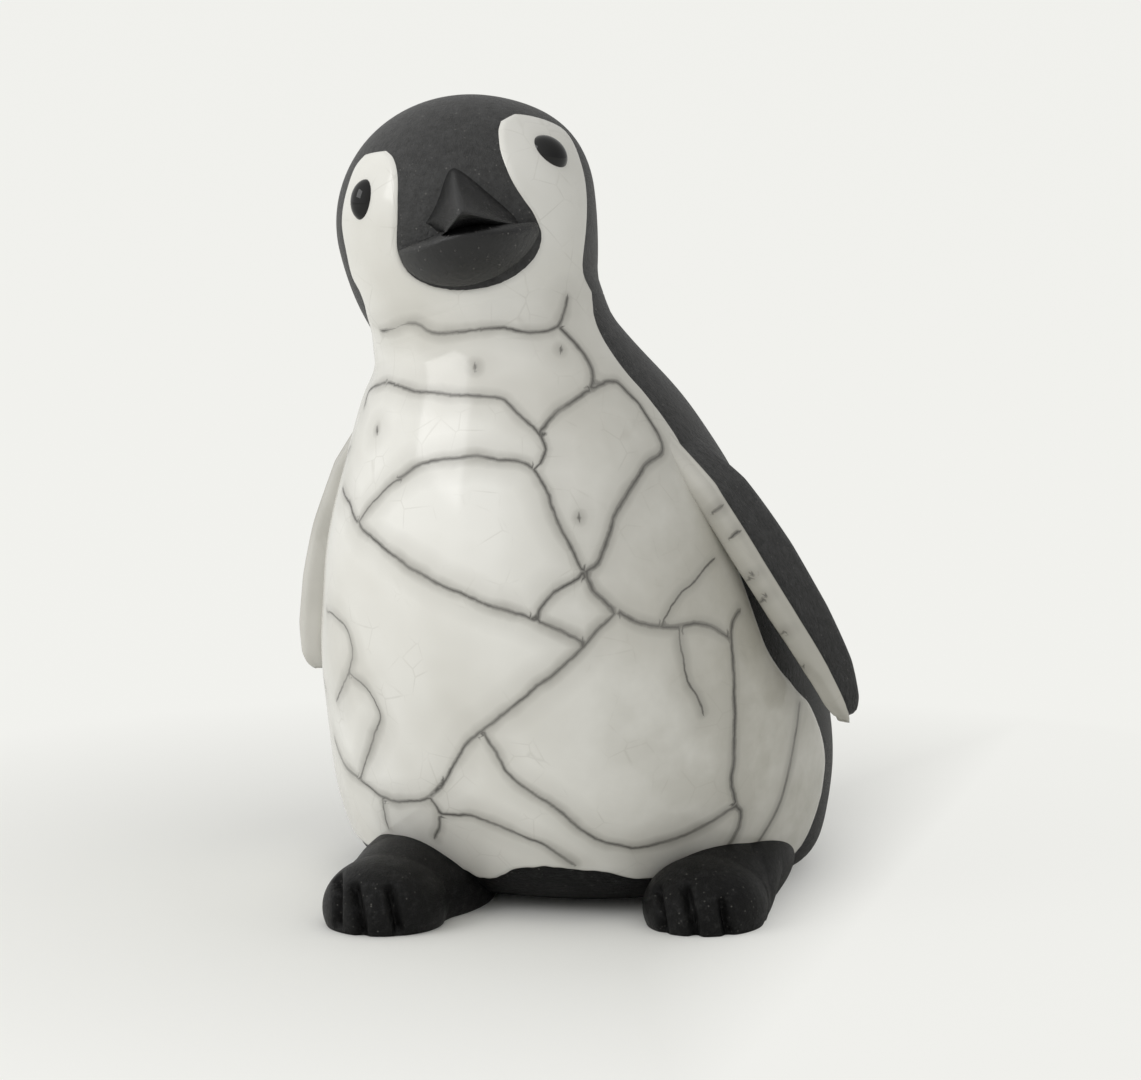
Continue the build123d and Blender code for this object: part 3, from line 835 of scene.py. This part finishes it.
def foot(node, tip, heading):
    """A foot whose toes end at a place on the table."""
    back = Vector((-sin(heading), cos(heading), 0))
    lumps = []
    for half_wide, half_long, half_high, behind in FOOT_LUMPS:
        bpy.ops.object.select_all(action="DESELECT")
        bpy.ops.mesh.primitive_uv_sphere_add(
            segments=64, ring_count=48, radius=1, rotation=(0, 0, heading),
            scale=Vector((half_wide, half_long, half_high)) * MM,
            location=tip + back * behind * MM + Vector((0, 0, FOOT_CENTRE_HEIGHT)),
        )
        lumps.append(fresh("clay_" + node))
    for lump in lumps:
        lump.select_set(True)
    bpy.context.view_layer.objects.active = lumps[0]
    bpy.ops.object.join()
    piece = bpy.context.object
    bpy.ops.object.transform_apply(location=True, rotation=True, scale=True)
    piece.name = "clay_" + node
    finished_with(piece, "REMESH", mode="VOXEL", voxel_size=FOOT_VOXEL)
    finished_with(piece, "SMOOTH", factor=0.5, iterations=FOOT_SMOOTHINGS)
    beside = Vector((cos(heading), sin(heading), 0)) * (1 if tip.x > 0 else -1)
    for vertex in piece.data.vertices:
        out, behind = (vertex.co - tip).dot(beside), (vertex.co - tip).dot(back)
        far_back = min(1, max(0, (behind - UNDERCUT_START) / UNDERCUT_FADE))
        low = 1 - min(1, max(0, vertex.co.z / UNDERCUT_TOP))
        vertex.co -= beside * max(0, out) * UNDERCUT_SHARE * far_back * low
    foot_skin = skin_of(piece)
    places = np.array([vertex.co for vertex in piece.data.vertices])
    normals = np.array([vertex.normal for vertex in piece.data.vertices])
    for first, last in GROOVE_PIXELS[node]:
        pixels = np.linspace(first, last, GROOVE_STEPS)
        line = np.array([picture_point(pixel, foot_skin) for pixel in pixels])
        off = np.min([np.linalg.norm(places - point, axis=1) for point in line], axis=0)
        places -= normals * (GROOVE_DEPTH * np.exp(-((off / GROOVE_HALF_WIDTH) ** 2)))[:, None]
    for vertex, place in zip(piece.data.vertices, places):
        vertex.co = place
    edit_all(piece)
    bpy.ops.mesh.bisect(
        plane_co=(0, 0, SOLE_HEIGHT), plane_no=(0, 0, 1), use_fill=True, clear_inner=True,
        threshold=CUT_TOLERANCE,
    )
    bpy.ops.object.mode_set(mode="OBJECT")
    hand_over(piece, "black_clay", node)
    return piece


feet = [foot(node, **place) for node, place in FEET.items()]

# %% [markdown]
# The tail is a point pinched from the clay low on the back: a sphere, drawn long and narrowed to its end.

# %% Tail
TAIL_MIDDLE = FIGURE_PLACE + Vector((0, 29.0, 10.2)) * MM
TAIL_HALF, TAIL_PINCH = Vector((6.8, 11.0, 4.2)) * MM, 0.45

bpy.ops.object.select_all(action="DESELECT")
bpy.ops.mesh.primitive_uv_sphere_add(segments=64, ring_count=40, radius=1)
tail = fresh("clay_tail")
for vertex in tail.data.vertices:
    x, y, z = vertex.co
    pinch = 1 - TAIL_PINCH * max(0, y)
    vertex.co = TAIL_MIDDLE + Vector((x * pinch * TAIL_HALF.x, y * TAIL_HALF.y, z * pinch * TAIL_HALF.z))
hand_over(tail, "black_clay", "tail")

# %% [markdown]
# The glaze cracked as the pot cooled, and the smoke drew black into the cracks and grey beside them. The
# big cracks are read in the photograph as places along each of them, and those of the hidden side are given
# by azimuth and height. Each point of the glaze stores how far the nearest crack is, with a sign for its
# side, so that the line stays sharp between the points of the grid. Half widths are in millimetres.

# %% Cracks in the glaze
THICK, PLAIN, THIN = 0.23, 0.17, 0.10
CRACKS = (
    (PLAIN, ((382, 332), (412, 323), (431, 332), (451, 333), (494, 328), (524, 332), (545, 331),
             (559, 327))),
    (PLAIN, ((559, 327), (564, 312), (567, 298))),
    (THICK, ((559, 327), (575, 343), (587, 359), (592, 374), (590, 390))),
    (PLAIN, ((388, 383), (415, 391), (440, 393), (470, 396), (500, 398), (510, 405),
             (525, 420), (540, 435), (545, 450), (540, 463))),
    (PLAIN, ((386, 383), (370, 390), (365, 405))),
    (THICK, ((540, 431), (555, 415), (575, 400), (590, 390), (605, 383), (618, 382))),
    (THICK, ((618, 382), (640, 405), (655, 430), (662, 445), (660, 455), (645, 467), (630, 490),
             (615, 515), (603, 550), (597, 565), (585, 572))),
    (PLAIN, ((400, 478), (420, 465), (440, 460), (470, 457), (500, 459), (525, 463), (538, 474),
             (550, 500), (557, 520), (570, 545), (580, 565), (584, 574))),
    (PLAIN, ((343, 488), (350, 505), (358, 523), (375, 540), (400, 560), (430, 580), (470, 597),
             (510, 612), (535, 620), (560, 630), (585, 643))),
    (THIN, ((400, 478), (382, 492), (366, 512), (358, 523))),
    (PLAIN, ((584, 574), (570, 583), (550, 597), (538, 612), (537, 620))),
    (THICK, ((584, 572), (596, 593), (616, 610), (638, 622), (662, 627), (681, 626), (696, 623), (710, 626),
             (730, 639))),
    (PLAIN, ((616, 612), (600, 628), (585, 643), (570, 660), (545, 680), (520, 700), (490, 725), (470, 740),
             (455, 762), (443, 785), (430, 797))),
    (THICK, ((739, 610), (733, 622), (731, 642), (734, 683), (735, 719), (734, 760), (732, 780), (735, 803),
             (741, 813), (737, 831), (727, 848))),
    (PLAIN, ((485, 733), (495, 752), (510, 775), (535, 795), (560, 811), (580, 829), (601, 840), (625, 847),
             (642, 847), (662, 842), (682, 836), (703, 826), (723, 814), (735, 806))),
    (PLAIN, ((335, 740), (345, 765), (361, 780), (383, 797), (399, 802), (416, 801), (429, 797),
             (443, 783))),
    (THIN, ((383, 799), (384, 810), (388, 827))),
    (PLAIN, ((429, 797), (437, 808), (440, 820), (436, 838))),
    (PLAIN, ((441, 814), (466, 815), (482, 820), (516, 833), (540, 843), (560, 855), (572, 864))),
    (THIN, ((713, 559), (696, 579), (676, 598), (664, 620))),
    (THIN, ((680, 632), (681, 651), (688, 681), (698, 698), (703, 712))),
    (PLAIN, ((799, 705), (796, 731), (791, 760), (785, 786), (778, 809), (764, 833), (758, 842))),
    (THIN, ((327, 610), (342, 622), (352, 645), (349, 672), (337, 700))),
    (THIN, ((349, 672), (368, 690), (380, 716), (372, 742), (361, 780))),
    (PLAIN, ((476, 366), (476, 368))),
    (PLAIN, ((561, 349), (561, 351))),
    (PLAIN, ((377, 429), (377, 431))),
    (PLAIN, ((579, 517), (579, 519))),
)
SIDE_CRACKS = (
    (PLAIN, ((-60, 58), (-70, 55), (-80, 57), (-90, 56))),
    (THIN, ((-70, 55), (-72, 46), (-67, 38), (-71, 29), (-80, 24), (-92, 22))),
    (PLAIN, ((-62, 26), (-71, 29))),
    (THIN, ((-80, 24), (-83, 15), (-92, 10))),
)
FLIPPER_CRACKS = (
    (PLAIN, ((708, 517), (718, 509), (736, 499))), (PLAIN, ((722, 543), (735, 533), (752, 523))),
    (PLAIN, ((742, 583), (754, 573), (774, 562))), (PLAIN, ((752, 606), (766, 595), (788, 584))),
    (THIN, ((774, 636), (788, 629), (806, 620))), (THIN, ((795, 670), (806, 664), (824, 655))),
)
CRACK_JITTER, CRACK_KINK = 0.22 * MM, 2.4 * MM
POINTS_AT_ONCE, SHORTEST_SQUARE = 1500, 1e-14


def crack_line(points):
    """A smooth line with the small kinks of a real crack."""
    line = smooth_through(points, 8)
    for number, point in enumerate(line):
        line[number] += CRACK_JITTER * np.array(noise.noise_vector(Vector(point) / CRACK_KINK))
    return line


def crack_field(piece, lines):
    """Stores how far the nearest crack is at each point, signed and plain, and the crack's half width."""
    starts = np.concatenate([line[:-1] for half, line in lines])
    along = np.concatenate([np.diff(line, axis=0) for half, line in lines])
    tangents = [np.gradient(line, axis=0) for half, line in lines]
    first_turns = np.concatenate([tangent[:-1] for tangent in tangents])
    last_turns = np.concatenate([tangent[1:] for tangent in tangents])
    halves = np.concatenate([np.full(len(line) - 1, half) for half, line in lines])
    lengths = np.maximum((along**2).sum(1), SHORTEST_SQUARE)
    count = len(piece.data.vertices)
    points, normals = np.zeros(count * 3), np.zeros(count * 3)
    piece.data.vertices.foreach_get("co", points)
    piece.data.vertices.foreach_get("normal", normals)
    points, normals = points.reshape(-1, 3), normals.reshape(-1, 3)
    field = np.zeros((count, 3))
    for first in range(0, count, POINTS_AT_ONCE):
        now = slice(first, first + POINTS_AT_ONCE)
        some = points[now]
        share = np.clip(((some[:, None] - starts) * along).sum(2) / lengths, 0, 1)
        away = some[:, None] - starts - share[..., None] * along
        distance = (away**2).sum(2) ** 0.5
        nearest = distance.argmin(1)
        rows = np.arange(len(some))
        part_way = share[rows, nearest][:, None]
        heading = first_turns[nearest] * (1 - part_way) + last_turns[nearest] * part_way
        across = np.cross(heading, normals[now])
        side = np.where((across * away[rows, nearest]).sum(1) < 0, -1, 1)
        plain = distance[rows, nearest] / MM
        field[now] = np.stack([plain * side, plain, halves[nearest]], 1)
    stored = piece.data.attributes.new("crack", "FLOAT_VECTOR", "POINT")
    stored.data.foreach_set("vector", field.astype(np.float32).ravel())


def seen_cracks(piece, cracks):
    """The cracks of a table, laid on a piece where the photograph shows them."""
    surface = skin_of(piece)
    return [(half, crack_line([picture_point(p, surface) for p in pixels])) for half, pixels in cracks]


front_lines = seen_cracks(front_coat, CRACKS)
for half, places in SIDE_CRACKS:
    on_side = [pot_point(radians(a), h * MM / neck_point(radians(a)).z) for a, h in places]
    front_lines.append((half, crack_line(on_side)))
crack_field(front_coat, front_lines)
finished_with(front_coat, "SOLIDIFY", thickness=GLAZE_THICKNESS, offset=-1)
hand_over(front_coat, "crackle_glaze", "body_glaze", "head_glaze")
for (_, glaze), node in zip(flippers, PADDLES):
    crack_field(glaze, seen_cracks(glaze, FLIPPER_CRACKS))
    finished_with(glaze, "SOLIDIFY", thickness=GLAZE_THICKNESS, offset=-1)
    hand_over(glaze, "crackle_glaze", node + "_glaze")
print(len(front_lines), "cracks on the front,", len(FLIPPER_CRACKS), "across the flippers")

# %% [markdown]
# The finishes come next. One function turns a colour as it is written on a colour card into the linear
# values that the shader needs, and one adds a node with its settings and links.

# %% Helpers for materials
def card(code):
    """A colour of six hex digits as linear red, green and blue."""
    values = [int(code[i : i + 2], 16) / 255 for i in (0, 2, 4)]
    return [v / 12.92 if v <= 0.04045 else ((v + 0.055) / 1.055) ** 2.4 for v in values] + [1]


def add(material, kind, inputs=(), **settings):
    """Adds a node. Inputs come in their order or by name, each a value, or a node or socket to link."""
    node = material.node_tree.nodes.new(kind)
    for key, value in settings.items():
        setattr(node, key, value)
    for name, value in inputs.items() if isinstance(inputs, dict) else enumerate(inputs):
        if isinstance(value, bpy.types.Node):
            value = value.outputs[0]
        if isinstance(value, bpy.types.NodeSocket):
            material.node_tree.links.new(value, node.inputs[name])
        else:
            node.inputs[name].default_value = value
    return node


def new_material(name):
    """An empty material."""
    material = bpy.data.materials.new(name)
    material.use_nodes = True
    material.node_tree.nodes.clear()
    return material


def give(material, *some):
    """Gives a material to pieces."""
    for piece in some:
        piece.data.materials.clear()
        piece.data.materials.append(material)
    print(material.name, "on", ", ".join(piece.name for piece in some))


# %% [markdown]
# Bare smoke-fired clay: a groggy stoneware body that carbon has turned black all through. It is matt at
# the feet and glossier towards the head, which the IOR follows. Its colour is painted darker low down and
# paler towards the head: painted shade below and painted light on top. Single grains of grog catch the
# light. The beak and the chin were rubbed with a tool while the clay was leather-hard, so the same clay is
# smoother and shinier there. The sizes are those of the noise, whose own finer details reach down to the
# clay's real grit of a tenth of a millimetre.

# %% Bare black clay
SHADE_AND_GLOSS_HEIGHTS, PAINTED_SHADE_AND_LIGHT, SOOT_IORS = (15 * MM, 85 * MM), (-0.12, 0.06), (1.27, 1.5)
MOTTLE_SIZE, GRAIN_SIZE, GRIT_SIZE = 1.25 * MM, 0.667 * MM, 0.714 * MM
MOTTLE_RANGE, GRAIN_RIM, GRAIN_CHANCE = (0.38, 0.64), (0.1, 0.22), (0.5, 0.9)


def black_clay(name, dark, pale, roughness, grit_depth):
    """Smoke-blackened clay between two colours, with a roughness and a depth of grit."""
    clay = new_material(name)
    place = add(clay, "ShaderNodeTexCoord").outputs["Object"]
    height = add(clay, "ShaderNodeSeparateXYZ", (place,)).outputs["Z"]
    # Painted shade and light: the colour is shifted darker low down and paler high up, and the IOR rises
    # with height.
    painted_height_light, glossier = (
        add(clay, "ShaderNodeMapRange", (height, *SHADE_AND_GLOSS_HEIGHTS, *ends)) for ends in (PAINTED_SHADE_AND_LIGHT, SOOT_IORS)
    )
    mottle, grit = (
        add(
            clay, "ShaderNodeTexNoise",
            {"Vector": place, "Scale": 1 / size, "Detail": detail, "Roughness": coarse},
        )
        for size, detail, coarse in ((MOTTLE_SIZE, 8, 0.85), (GRIT_SIZE, 5, 0.75))
    )
    shade = add(clay, "ShaderNodeMath", (mottle, painted_height_light), operation="ADD")
    colour = add(clay, "ShaderNodeValToRGB", (shade,))
    for element, position, code in zip(colour.color_ramp.elements, MOTTLE_RANGE, (dark, pale)):
        element.position, element.color = position, card(code)
    grains = add(clay, "ShaderNodeTexVoronoi", {"Vector": place, "Scale": 1 / GRAIN_SIZE})
    speck = add(clay, "ShaderNodeMapRange", (grains, *GRAIN_RIM, 1, 0))
    rare = add(clay, "ShaderNodeMapRange", (grains.outputs["Color"], *GRAIN_CHANCE, 0, 0.8))
    sparkle = add(clay, "ShaderNodeMath", (speck, rare), operation="MULTIPLY")
    speckled = add(clay, "ShaderNodeMix", {0: sparkle, 6: colour, 7: card("6f6e6a")}, data_type="RGBA")
    bump = add(clay, "ShaderNodeBump", {"Height": grit, "Strength": 1.0, "Distance": grit_depth})
    shader = add(
        clay, "ShaderNodeBsdfPrincipled",
        {"Base Color": speckled.outputs[2], "Roughness": roughness, "IOR": glossier, "Normal": bump},
    )
    add(clay, "ShaderNodeOutputMaterial", (shader,))
    return clay


smoked = black_clay("carbon_black_smoke_fired_clay", "080808", "363636", 0.45, 0.3 * MM)
rubbed = black_clay("burnished_smoke_fired_clay", "050505", "131314", 0.26, 0.12 * MM)
give(smoked, body, head, tail, *feet, *[pair[0] for pair in flippers])
give(rubbed, upper_beak, lower_beak)

# %% [markdown]
# The raku glaze is a glossy white coat of glass. Beside the big cracks lies a grey halo of smoke, finer
# crazing shows in patches, and the white itself drifts between a cool and a smoky tone. It is greyer on
# the figure's left side, away from the window: partly smoke, and partly painted shade. The stored
# distances place the cracks, and noise lets each line tremble and fade.

# %% Crackle glaze
TREMOR_SIZE, CLOUD_SIZE, DRIFT_SIZE, SWELL_SIZE = 0.909 * MM, 6.67 * MM, 26.3 * MM, 5.26 * MM
# The side tone is partly smoke and partly painted shade on the side away from the window.
CRAZE_SIZE, SMOKE_AND_SHADE_SIDE, TONE_RANGE = 4.17 * MM, (-2 * MM, 26 * MM), (0.36, 0.62)
SMOKE_AND_SHADE_TONE, CRAZE_TONE, WIDE_TONE, HALO_TONE, LINE_TONE = "9a9687", "a8a49a", "a6a39b", "7d7a73", "33312e"


def crackle_glaze(name, smoky, white, smoke_and_shade_share):
    """Glossy raku glaze between two tones, smoke and painted shade on one side, and cracks, halos and
    crazing.
    """
    glaze = new_material(name)
    place = add(glaze, "ShaderNodeTexCoord").outputs["Object"]
    to_side = add(glaze, "ShaderNodeSeparateXYZ", (place,)).outputs["X"]
    crack = add(glaze, "ShaderNodeAttribute", attribute_type="GEOMETRY", attribute_name="crack")
    signed, plain, half = add(glaze, "ShaderNodeSeparateXYZ", (crack.outputs["Vector"],)).outputs
    tremor, clouds, drift, swell = (
        add(glaze, "ShaderNodeTexNoise", {"Vector": place, "Scale": 1 / size, "Detail": detail})
        for size, detail in ((TREMOR_SIZE, 3), (CLOUD_SIZE, 4), (DRIFT_SIZE, 3), (SWELL_SIZE, 2))
    )
    cells = {"Vector": place, "Scale": 1 / CRAZE_SIZE}
    cell_edge = add(glaze, "ShaderNodeTexVoronoi", cells, feature="DISTANCE_TO_EDGE")

    shake = add(glaze, "ShaderNodeMapRange", (tremor, 0.3, 0.7, -0.07, 0.07))
    shaken = add(glaze, "ShaderNodeMath", (signed, shake), operation="ADD")
    off_line = add(glaze, "ShaderNodeMath", (shaken,), operation="ABSOLUTE")
    in_halves = add(glaze, "ShaderNodeMath", (off_line, half), operation="DIVIDE")
    wander = add(glaze, "ShaderNodeMapRange", (clouds, 0.3, 0.7, -0.4, 0.4))
    near = add(glaze, "ShaderNodeMath", (plain, wander), operation="ADD")
    # Each part is one value stretched from a range to another, times a second one.
    sharp, halo, wide, craze, side = (
        add(
            glaze, "ShaderNodeMath", [add(glaze, "ShaderNodeMapRange", stretched) for stretched in pair],
            operation="MULTIPLY",
        )
        for pair in (
            ((in_halves, 0.2, 2.2, 1, 0), (plain, 0.4, 0.7, 1, 0)),
            ((near, 0.0, 1.3, 0.55, 0), (drift, 0.35, 0.6, 0.6, 1)),
            ((near, 0.2, 3.6, 0.38, 0), (drift, 0.35, 0.6, 0.5, 1)),
            ((cell_edge, 0.0, 0.03, 0.22, 0), (clouds, 0.5, 0.64, 0, 1)),
            # Smoke and painted shade: greyer on the figure's left side, away from the window, mottled by
            # the clouds.
            ((to_side, *SMOKE_AND_SHADE_SIDE, 0, smoke_and_shade_share), (clouds, 0.3, 0.6, 0.5, 1)),
        )
    )
    fading = add(glaze, "ShaderNodeMapRange", (clouds, 0.35, 0.62, 0.55, 0.85))
    line = add(glaze, "ShaderNodeMath", (sharp, fading), operation="MULTIPLY")

    tone = add(glaze, "ShaderNodeValToRGB", (drift,))
    for element, position, code in zip(tone.color_ramp.elements, TONE_RANGE, (smoky, white)):
        element.position, element.color = position, card(code)
    colour = tone.outputs["Color"]
    for share, code in (
        (side, SMOKE_AND_SHADE_TONE), (craze, CRAZE_TONE), (wide, WIDE_TONE), (halo, HALO_TONE), (line, LINE_TONE)
    ):
        layer = add(glaze, "ShaderNodeMix", {0: share, 6: colour, 7: card(code)}, data_type="RGBA")
        colour = layer.outputs[2]

    hills = add(glaze, "ShaderNodeMath", (swell, 0.5), operation="MULTIPLY")
    cut = add(glaze, "ShaderNodeMath", (line, 0.7), operation="MULTIPLY")
    height = add(glaze, "ShaderNodeMath", (hills, cut), operation="SUBTRACT")
    bump = add(glaze, "ShaderNodeBump", {"Height": height, "Strength": 0.45, "Distance": 0.1 * MM})
    dull = add(glaze, "ShaderNodeMapRange", (line, 0, 1, 0.13, 0.5))
    shader = add(
        glaze, "ShaderNodeBsdfPrincipled",
        {"Base Color": colour, "Roughness": dull, "IOR": 1.5, "Normal": bump},
    )
    add(glaze, "ShaderNodeOutputMaterial", (shader,))
    return glaze


give(crackle_glaze("white_raku_crackle_glaze", "d8d6cf", "ebeae5", 0.6), front_coat)
# The flippers' glaze is a greyer copy of the front's: its grey is painted shade of their inner faces.
give(crackle_glaze("shaded_raku_crackle_glaze", "b6b4ad", "d6d4ce", 0.3), *[pair[1] for pair in flippers])

# %% [markdown]
# The eyes are dipped in a black glaze that is as glossy as glass.

# %% Eye glaze
eye_glaze = new_material("black_glass_glaze")
shader = add(
    eye_glaze, "ShaderNodeBsdfPrincipled", {"Base Color": card("080808"), "Roughness": 0.06, "IOR": 1.45}
)
add(eye_glaze, "ShaderNodeOutputMaterial", (shader,))
give(eye_glaze, *eyes)

# %% [markdown]
# The figure stands on a pale table top. To the camera the table shines a little by itself far from the
# figure, which keeps the background even, and on the side away from the window, where this painted light
# lightens the figure's cast shadow. Elsewhere the figure's shadow stays on it nearby.

# %% Floor
SHADOW_REACH, FAR_GLOW = (52 * MM, 130 * MM), 0.92
SIDE_REACH, SIDE_GLOW = (18 * MM, 40 * MM), 0.85

bpy.ops.object.select_all(action="DESELECT")
bpy.ops.mesh.primitive_plane_add(size=14, location=(0, 0, 0))
floor = fresh("floor")
table_top = new_material("pale_table_top")
bare = add(table_top, "ShaderNodeBsdfPrincipled", {"Base Color": card("f0f0ed"), "Roughness": 0.9})
own_light = add(table_top, "ShaderNodeEmission", {"Color": card("f3f3ef"), "Strength": 1.0})
place = add(table_top, "ShaderNodeTexCoord").outputs["Object"]
from_middle = add(table_top, "ShaderNodeVectorMath", (place,), operation="LENGTH").outputs["Value"]
to_side = add(table_top, "ShaderNodeSeparateXYZ", (place,)).outputs["X"]
far_off = add(table_top, "ShaderNodeMapRange", (from_middle, *SHADOW_REACH, 0, FAR_GLOW))
# Painted light: the table glows on the side away from the window, over the figure's cast shadow.
shadow_side_glow = add(table_top, "ShaderNodeMapRange", (to_side, *SIDE_REACH, 0, SIDE_GLOW))
lighter = add(table_top, "ShaderNodeMath", (far_off, shadow_side_glow), operation="MAXIMUM")
seen = add(table_top, "ShaderNodeLightPath").outputs["Is Camera Ray"]
share = add(table_top, "ShaderNodeMath", (lighter, seen), operation="MULTIPLY")
both = add(table_top, "ShaderNodeMixShader", (share, bare, own_light))
add(table_top, "ShaderNodeOutputMaterial", (both,))
give(table_top, floor)

# %% [markdown]
# The light is that of a room: one broad window at the upper left, and a pale sky that is brightest on the
# window's side and darker towards the right and the back.

# %% Window and sky
WINDOW_PLACE, WINDOW_SIZE, WINDOW_POWER = (-0.68, -0.6, 0.62), (0.65, 0.5), 2.7
LIGHT_SIDE, SKY_RANGE, SKY_STRENGTHS = (-0.75, -0.4, 0.4), (-0.6, 0.8), (0.52, 1.0)

bpy.ops.object.select_all(action="DESELECT")
turn = (Vector((0, 0, 50 * MM)) - Vector(WINDOW_PLACE)).to_track_quat("-Z", "Y").to_euler()
bpy.ops.object.light_add(type="AREA", location=WINDOW_PLACE, rotation=turn)
window = bpy.context.object
window.name = "window"
window.data.shape = "RECTANGLE"
window.data.size, window.data.size_y = WINDOW_SIZE
window.data.energy = WINDOW_POWER

sky = bpy.data.worlds.new("sky")
bpy.context.scene.world = sky
sky.use_nodes = True
background = sky.node_tree.nodes["Background"]
background.inputs["Color"].default_value = card("f4f4f2")
direction = add(sky, "ShaderNodeTexCoord").outputs["Generated"]
towards = add(sky, "ShaderNodeVectorMath", (direction, LIGHT_SIDE), operation="DOT_PRODUCT")
strength = add(sky, "ShaderNodeMapRange", (towards.outputs["Value"], *SKY_RANGE, *SKY_STRENGTHS))
sky.node_tree.links.new(strength.outputs["Result"], background.inputs["Strength"])
bpy.context.scene.view_settings.view_transform = "Standard"
print("window", WINDOW_SIZE, "m, sky", SKY_STRENGTHS)
